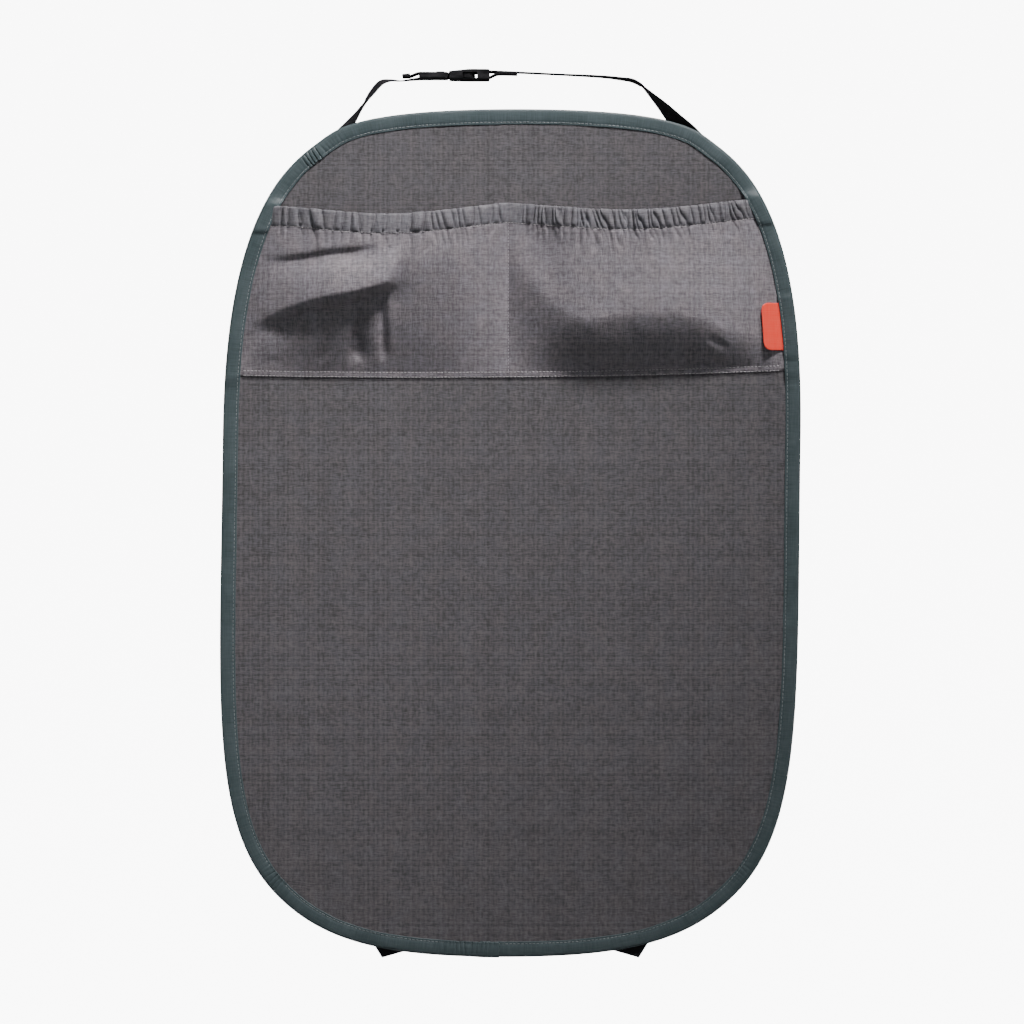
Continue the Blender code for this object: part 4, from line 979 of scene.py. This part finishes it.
def smooth_route(stations, steps=10):
    """A smooth curve through stations of any size."""
    given = np.array(stations, float)
    padded = np.vstack((2 * given[0] - given[1], given, 2 * given[-1] - given[-2]))
    made = []
    for i in range(1, len(padded) - 2):
        made += [spline(*padded[i - 1 : i + 3], step / steps) for step in range(steps)]
    made.append(padded[-2])
    return np.array(made)


def ribbon(name, centres, across, width, thickness):
    """A flat webbing along centres, its width along the given directions."""
    ahead = unit(np.gradient(centres, axis=0))
    across = unit(across - ahead * np.sum(across * ahead, axis=1)[:, None])
    out = np.cross(across, ahead)
    along = travelled(centres)
    rows = []
    uv = []
    for side, up in WEB_SECTION:
        rows.append(centres + across * (side * width) + out * (up * thickness))
        uv.append(np.column_stack((along, np.full_like(along, side * width))))
    points = np.stack(rows, axis=1)
    around = len(WEB_SECTION)
    faces = grid_faces(len(centres), around, closed=True).tolist()
    last = (len(centres) - 1) * around
    faces.append(list(range(around))[::-1])
    faces.append([last + i for i in range(around)])
    return new_object(name, points, faces, np.stack(uv, axis=1))


def twisted(route):
    """Centres and width directions of a route of (x, y, z, twist)."""
    centres = route[:, :3]
    ahead = np.gradient(centres, axis=0)
    ahead[:, 1] = 0.0
    ahead = unit(ahead)
    up = np.column_stack((-ahead[:, 2], np.zeros(len(ahead)), ahead[:, 0]))
    turn = np.radians(route[:, 3])[:, None]
    return centres, np.array((0.0, 1.0, 0.0)) * np.cos(turn) + up * np.sin(turn)


def by_shoulder(side, rows):
    """Stations placed from the left (-1) or right (1) shoulder: inset, rise, depth and twist.

    Where no depth is given, the webbing's near edge stays behind the binding.
    """
    made = []
    for inset, rise, depth, twist in rows:
        if depth is None:
            depth = CROSSING_WEB_Y + STRAP_WIDTH / 2 * abs(math.cos(math.radians(twist)))
        made.append((side * (SHOULDER[0] - inset), depth, SHOULDER[1] + rise, twist))
    return made


def by_buckle(rows):
    """Stations placed from the buckle, at its depth: x, z and twist."""
    return [(BUCKLE[0] + x, BUCKLE[1], BUCKLE[2] + z, twist) for x, z, twist in rows]


def turn_about(x, z, radius, start, end, count):
    """Stations on a turn of the webbing round a bar placed from the buckle."""
    angles = np.radians(np.linspace(start, end, count))
    return by_buckle([(x + radius * math.cos(a), z + radius * math.sin(a), 0.0) for a in angles])


def make_left_strap(material):
    """Webbing from the left shoulder to the buckle's clip, round its bar, with a hemmed tail."""
    rows = (
        (0.0043, -0.0343, SEWN_WEB_Y, 90.0),
        (0.0123, -0.0243, SEWN_WEB_Y, 90.0),
        (0.0193, -0.0138, CROSSING_WEB_Y, 90.0),
        (0.0262, 0.0062, None, 48.0),
        (0.0365, 0.0221, None, 23.0),
        (0.0424, 0.0300, None, 13.0),
        (0.0475, 0.0370, BUCKLE[1] + 0.0005, 7.5),
        (0.0502, 0.0413, BUCKLE[1] + 0.0003, 10.5),
        (0.0540, 0.0464, BUCKLE[1] + 0.0001, 14.5),
    )
    approach = (
        (-0.0295, -0.0052, 15.0),
        (-0.0220, -0.0034, 8.0),
        (-0.0145, -0.0038, 5.0),
        (-0.0060, -CLIP_TURN - 0.0008, 2.0),
    )
    tail = (
        (0.0010, CLIP_TURN, 0.0),
        (-0.0012, CLIP_TURN - 0.0003, 0.0),
        (-0.0040, 0.0007, 0.0),
        (-0.0070, -0.0006, 0.0),
    )
    fold = 0.00065
    route = list(smooth_route(by_shoulder(-1, rows) + by_buckle(approach)))
    route += by_buckle([(0.0010, -CLIP_TURN, 0.0)])
    route += turn_about(*CLIP_BAR, CLIP_TURN, -90.0, 90.0, 14)
    route += list(smooth_route(by_buckle(tail), 5))
    route += turn_about(-0.0120, fold - 0.0008, fold, -90.0, -270.0, 9)
    route += by_buckle([(-0.0070, 0.0009, 0.0)])
    item = ribbon("strap_left", *twisted(np.array(route)), STRAP_WIDTH, STRAP_THICK)
    finish_piece(item, material)
    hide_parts("top_strap_left")


def make_right_strap(material):
    """Webbing from the right shoulder to the socket, looped round its end bar and sewn back."""
    bar_x, bar_z = SOCKET_BAR
    sewn = (
        (bar_x + 0.0230, 0.0012, 0.0),
        (bar_x + 0.0110, bar_z + SOCKET_TURN - 0.0017, 0.0),
        (bar_x + 0.0065, bar_z, 0.0),
        (bar_x + 0.0020, bar_z - SOCKET_TURN, 0.0),
    )
    run = (
        (bar_x + 0.0020, bar_z + SOCKET_TURN, 0.0),
        (0.0725, 0.0028, 2.0),
        (0.1055, 0.0013, 2.5),
        (0.1395, -0.0004, 1.0),
    )
    rows = (
        (0.0743, 0.0562, BUCKLE[1], -1.0),
        (0.0663, 0.0549, BUCKLE[1], -2.5),
        (0.0603, 0.0519, BUCKLE[1] + 0.0001, -1.5),
        (0.0563, 0.0487, BUCKLE[1] + 0.0004, 0.0),
        (0.0433, 0.0357, None, -17.0),
        (0.0313, 0.0217, None, -36.0),
        (0.0203, 0.0077, None, -66.0),
        (0.0113, -0.0058, CROSSING_WEB_Y, -90.0),
        (0.0048, -0.0183, CROSSING_WEB_Y, -90.0),
        (-0.0002, -0.0293, SEWN_WEB_Y, -90.0),
    )
    route = list(smooth_route(by_buckle(sewn), 8))
    route += turn_about(bar_x - 0.0012, bar_z, SOCKET_TURN, 270.0, 90.0, 14)
    route += list(smooth_route(by_buckle(run) + by_shoulder(1, rows)))
    item = ribbon("strap_right", *twisted(np.array(route)), STRAP_WIDTH, STRAP_THICK)
    finish_piece(item, material, body=None)
    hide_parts("top_strap_right")
    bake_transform(item)


def fold_strip(along, across, lift, creases):
    """Fold a flat strip over its creases, the last one first, and give the point that results."""
    for place, slant, radius in reversed(creases):
        size = math.hypot(1.0, slant)
        normal = Vector((1.0 / size, -slant / size))
        crease = Vector((slant / size, 1.0 / size))
        offset = Vector((along - place, across))
        beyond = offset.dot(normal)
        if beyond <= 0.0:
            continue
        turned = beyond / radius
        if turned < math.pi:
            moved = (radius - lift) * math.sin(turned)
            lift = radius - (radius - lift) * math.cos(turned)
        else:
            moved = -(beyond - math.pi * radius)
            lift = 2.0 * radius - lift
        point = crease * offset.dot(crease) + normal * moved
        along, across = point.x + place, point.y
    return along, across, lift


def make_bottom_strap(material):
    """The ribbed elastic sewn on behind both lower corners and folded up behind the panel."""
    first = BOTTOM_LEGS[0]
    second = first + BOTTOM_LEGS[1]
    creases = ((first, math.tan(BOTTOM_TILT), BOTTOM_TURN), (second, 1.0, BOTTOM_TURN))
    down = Vector((math.sin(2 * BOTTOM_TILT), -math.cos(2 * BOTTOM_TILT)))
    side = Vector((-down.y, down.x))
    start = Vector(BOTTOM_START) - down * first

    def world(along, across):
        risen = float(smooth((along - 0.0180) / 0.0120))
        lift = -(BOTTOM_Y - SEWN_WEB_Y - 0.0001) * (1.0 - risen) if along < first else 0.0
        along, across, lift = fold_strip(along, across, lift, creases)
        flat = start + down * along + side * across
        return flat.x, BOTTOM_Y + lift, flat.y

    stations = [(0.066 * k / 16, 0.0) for k in range(17)]
    for place, slant, radius in creases:
        turn = math.pi * radius * math.hypot(1.0, slant)
        stations += [(place + turn * (k / 14), slant) for k in range(15)]
    end = second + 0.05 - world(second + 0.05, 0.0)[0]
    last = stations[-1][0]
    stations += [(last + (end - last) * k / 14, 0.0) for k in range(1, 15)]
    places = np.linspace(-0.5, 0.5, 15) * BOTTOM_WIDTH
    uv = [[(along + across * slant, across) for across in places] for along, slant in stations]
    uv = np.array(uv)
    rows = np.array([[world(*place) for place in row] for row in uv])
    rows[-1, :, 0] = 0.0
    mirrored = rows[::-1] * (-1.0, 1.0, 1.0)
    other = uv[::-1].copy()
    other[..., 0] = 2 * uv[-1, 0, 0] - other[..., 0]
    points = np.concatenate((rows, mirrored[1:]))
    uv = np.concatenate((uv, other[1:]))
    item = new_object("strap_bottom", points, grid_faces(*points.shape[:2]), uv)
    finish_piece(item, material, STRAP_THICK)
    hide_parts("bottom_strap")


def dress_buckle(frame, material):
    """The buckle keeps its solids, in moulded plastic."""
    for name in ("buckle_clip", "buckle_socket"):
        item = frame["nodes"][name]
        item.data.materials.clear()
        item.data.materials.append(material)


def add_light(name, place, target, size, power, colour, spread):
    """A soft rectangular light that looks at a target."""
    data = bpy.data.lights.new(name, "AREA")
    data.shape = "RECTANGLE"
    data.size, data.size_y = size
    data.energy = power
    data.color = colour
    data.spread = math.radians(spread)
    item = add(name, data)
    item.location = place
    item.rotation_euler = (Vector(target) - item.location).to_track_quat("-Z", "Y").to_euler()
    item.visible_camera = False


def room_paint(shader, colour, glow, far_glow, share):
    """Matt paint that glows, the more the greater the share."""
    inputs = shader.surface.inputs
    shader.put(inputs["Base Color"], colour)
    inputs["Roughness"].default_value = 0.9
    inputs["Emission Color"].default_value = (1.0, 1.0, 1.0, 1.0)
    shader.put(inputs["Emission Strength"], shader.maths("MULTIPLY_ADD", share, far_glow, glow))
    return shader.material


def wall_paint():
    """Paint of the wall, brightest behind the model."""
    shader = Shader("wall_paint")
    behind = shader.node("ShaderNodeSeparateXYZ", (), {0: shader.coordinates()}, output=1)
    share = shader.ramp(behind, *(WALL_RADIUS * share for share in BACKDROP_SHARES))
    share = shader.maths("SMOOTH_MIN", share, 1.0, 0.3)
    return room_paint(shader, WALL_COLOUR, WALL_LIGHT, BACKDROP_LIGHT, share)


def floor_paint():
    """Paint of the floor, brighter far from the model."""
    shader = Shader("floor_paint")
    settings = {"operation": "LENGTH"}
    away = shader.node("ShaderNodeVectorMath", settings, {0: shader.coordinates()}, output=1)
    share = shader.ramp(away, *FAR_FLOOR)
    return room_paint(shader, FLOOR_COLOUR, FLOOR_LIGHT, FAR_FLOOR_LIGHT, share)


def make_room():
    """A pale round wall and floor, and soft light mostly from above."""
    turns = np.arange(ROOM_CORNERS) * 2 * math.pi / ROOM_CORNERS
    ring = np.column_stack((np.cos(turns), np.sin(turns), np.zeros(ROOM_CORNERS))) * WALL_RADIUS
    low = ring + (0.0, 0.0, FLOOR_Z)
    high = ring + (0.0, 0.0, WALL_HALF_HEIGHT)
    wall = new_object("wall", np.vstack((low, high)), grid_faces(2, ROOM_CORNERS, closed=True))
    wall.data.materials.append(wall_paint())
    floor = new_object("floor", low, [list(range(ROOM_CORNERS))])
    floor.data.materials.append(floor_paint())
    for light in LIGHTS:
        add_light(*light)
    world = bpy.data.worlds.new("world")
    world.use_nodes = True
    world.node_tree.nodes["Background"].inputs["Color"].default_value = WORLD_COLOUR
    bpy.context.scene.world = world


def make_camera():
    """A long lens straight in front."""
    data = bpy.data.cameras.new("camera")
    data.sensor_width = SENSOR_WIDTH
    data.lens = SENSOR_WIDTH * CAMERA_DISTANCE / CAMERA_SPAN
    item = add("camera", data)
    item.location = (CAMERA_X, -CAMERA_DISTANCE, CAMERA_Z)
    item.rotation_euler = (math.pi / 2, 0.0, 0.0)
    bpy.context.scene.camera = item


def main():
    """Dress the model."""
    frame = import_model()
    make_camera()
    make_room()
    outline = Outline(frame["nodes"]["back_panel"])
    pocket = Pocket(outline)
    panel = woven_cloth("panel_cloth", *PANEL_COLOURS, 0.65, 0.3)
    cloth = woven_cloth("pocket_cloth", *POCKET_COLOURS, 0.55, 0.4)
    # The hem's material is a darker copy of the pocket cloth: painted shade
    hem = woven_cloth("hem_cloth_painted_shade", *HEM_SHADED_COLOURS, 0.55, 0.4)
    tape = tape_cloth("binding_tape", *TAPE_COLOURS)
    web = web_cloth("webbing", *WEB_COLOURS, WEB_RIB)
    elastic = web_cloth("strap_elastic", *ELASTIC_COLOURS, ELASTIC_RIB)
    thread = thread_cloth("binding_thread", BINDING_THREAD)
    pale = thread_cloth("pocket_thread", POCKET_THREAD)
    red = label_cloth("label_cloth", *LABEL_COLOURS)
    plastic = moulded_plastic("buckle_plastic", *PLASTIC_COLOURS)
    make_panel(outline, panel)
    make_pocket(pocket, cloth)
    make_hem(pocket, hem)
    make_binding(outline, tape)
    make_binding_stitches(outline, thread)
    make_pocket_stitches(pocket, pale)
    make_label(pocket, red)
    make_left_strap(web)
    make_right_strap(web)
    make_bottom_strap(elastic)
    dress_buckle(frame, plastic)


main()
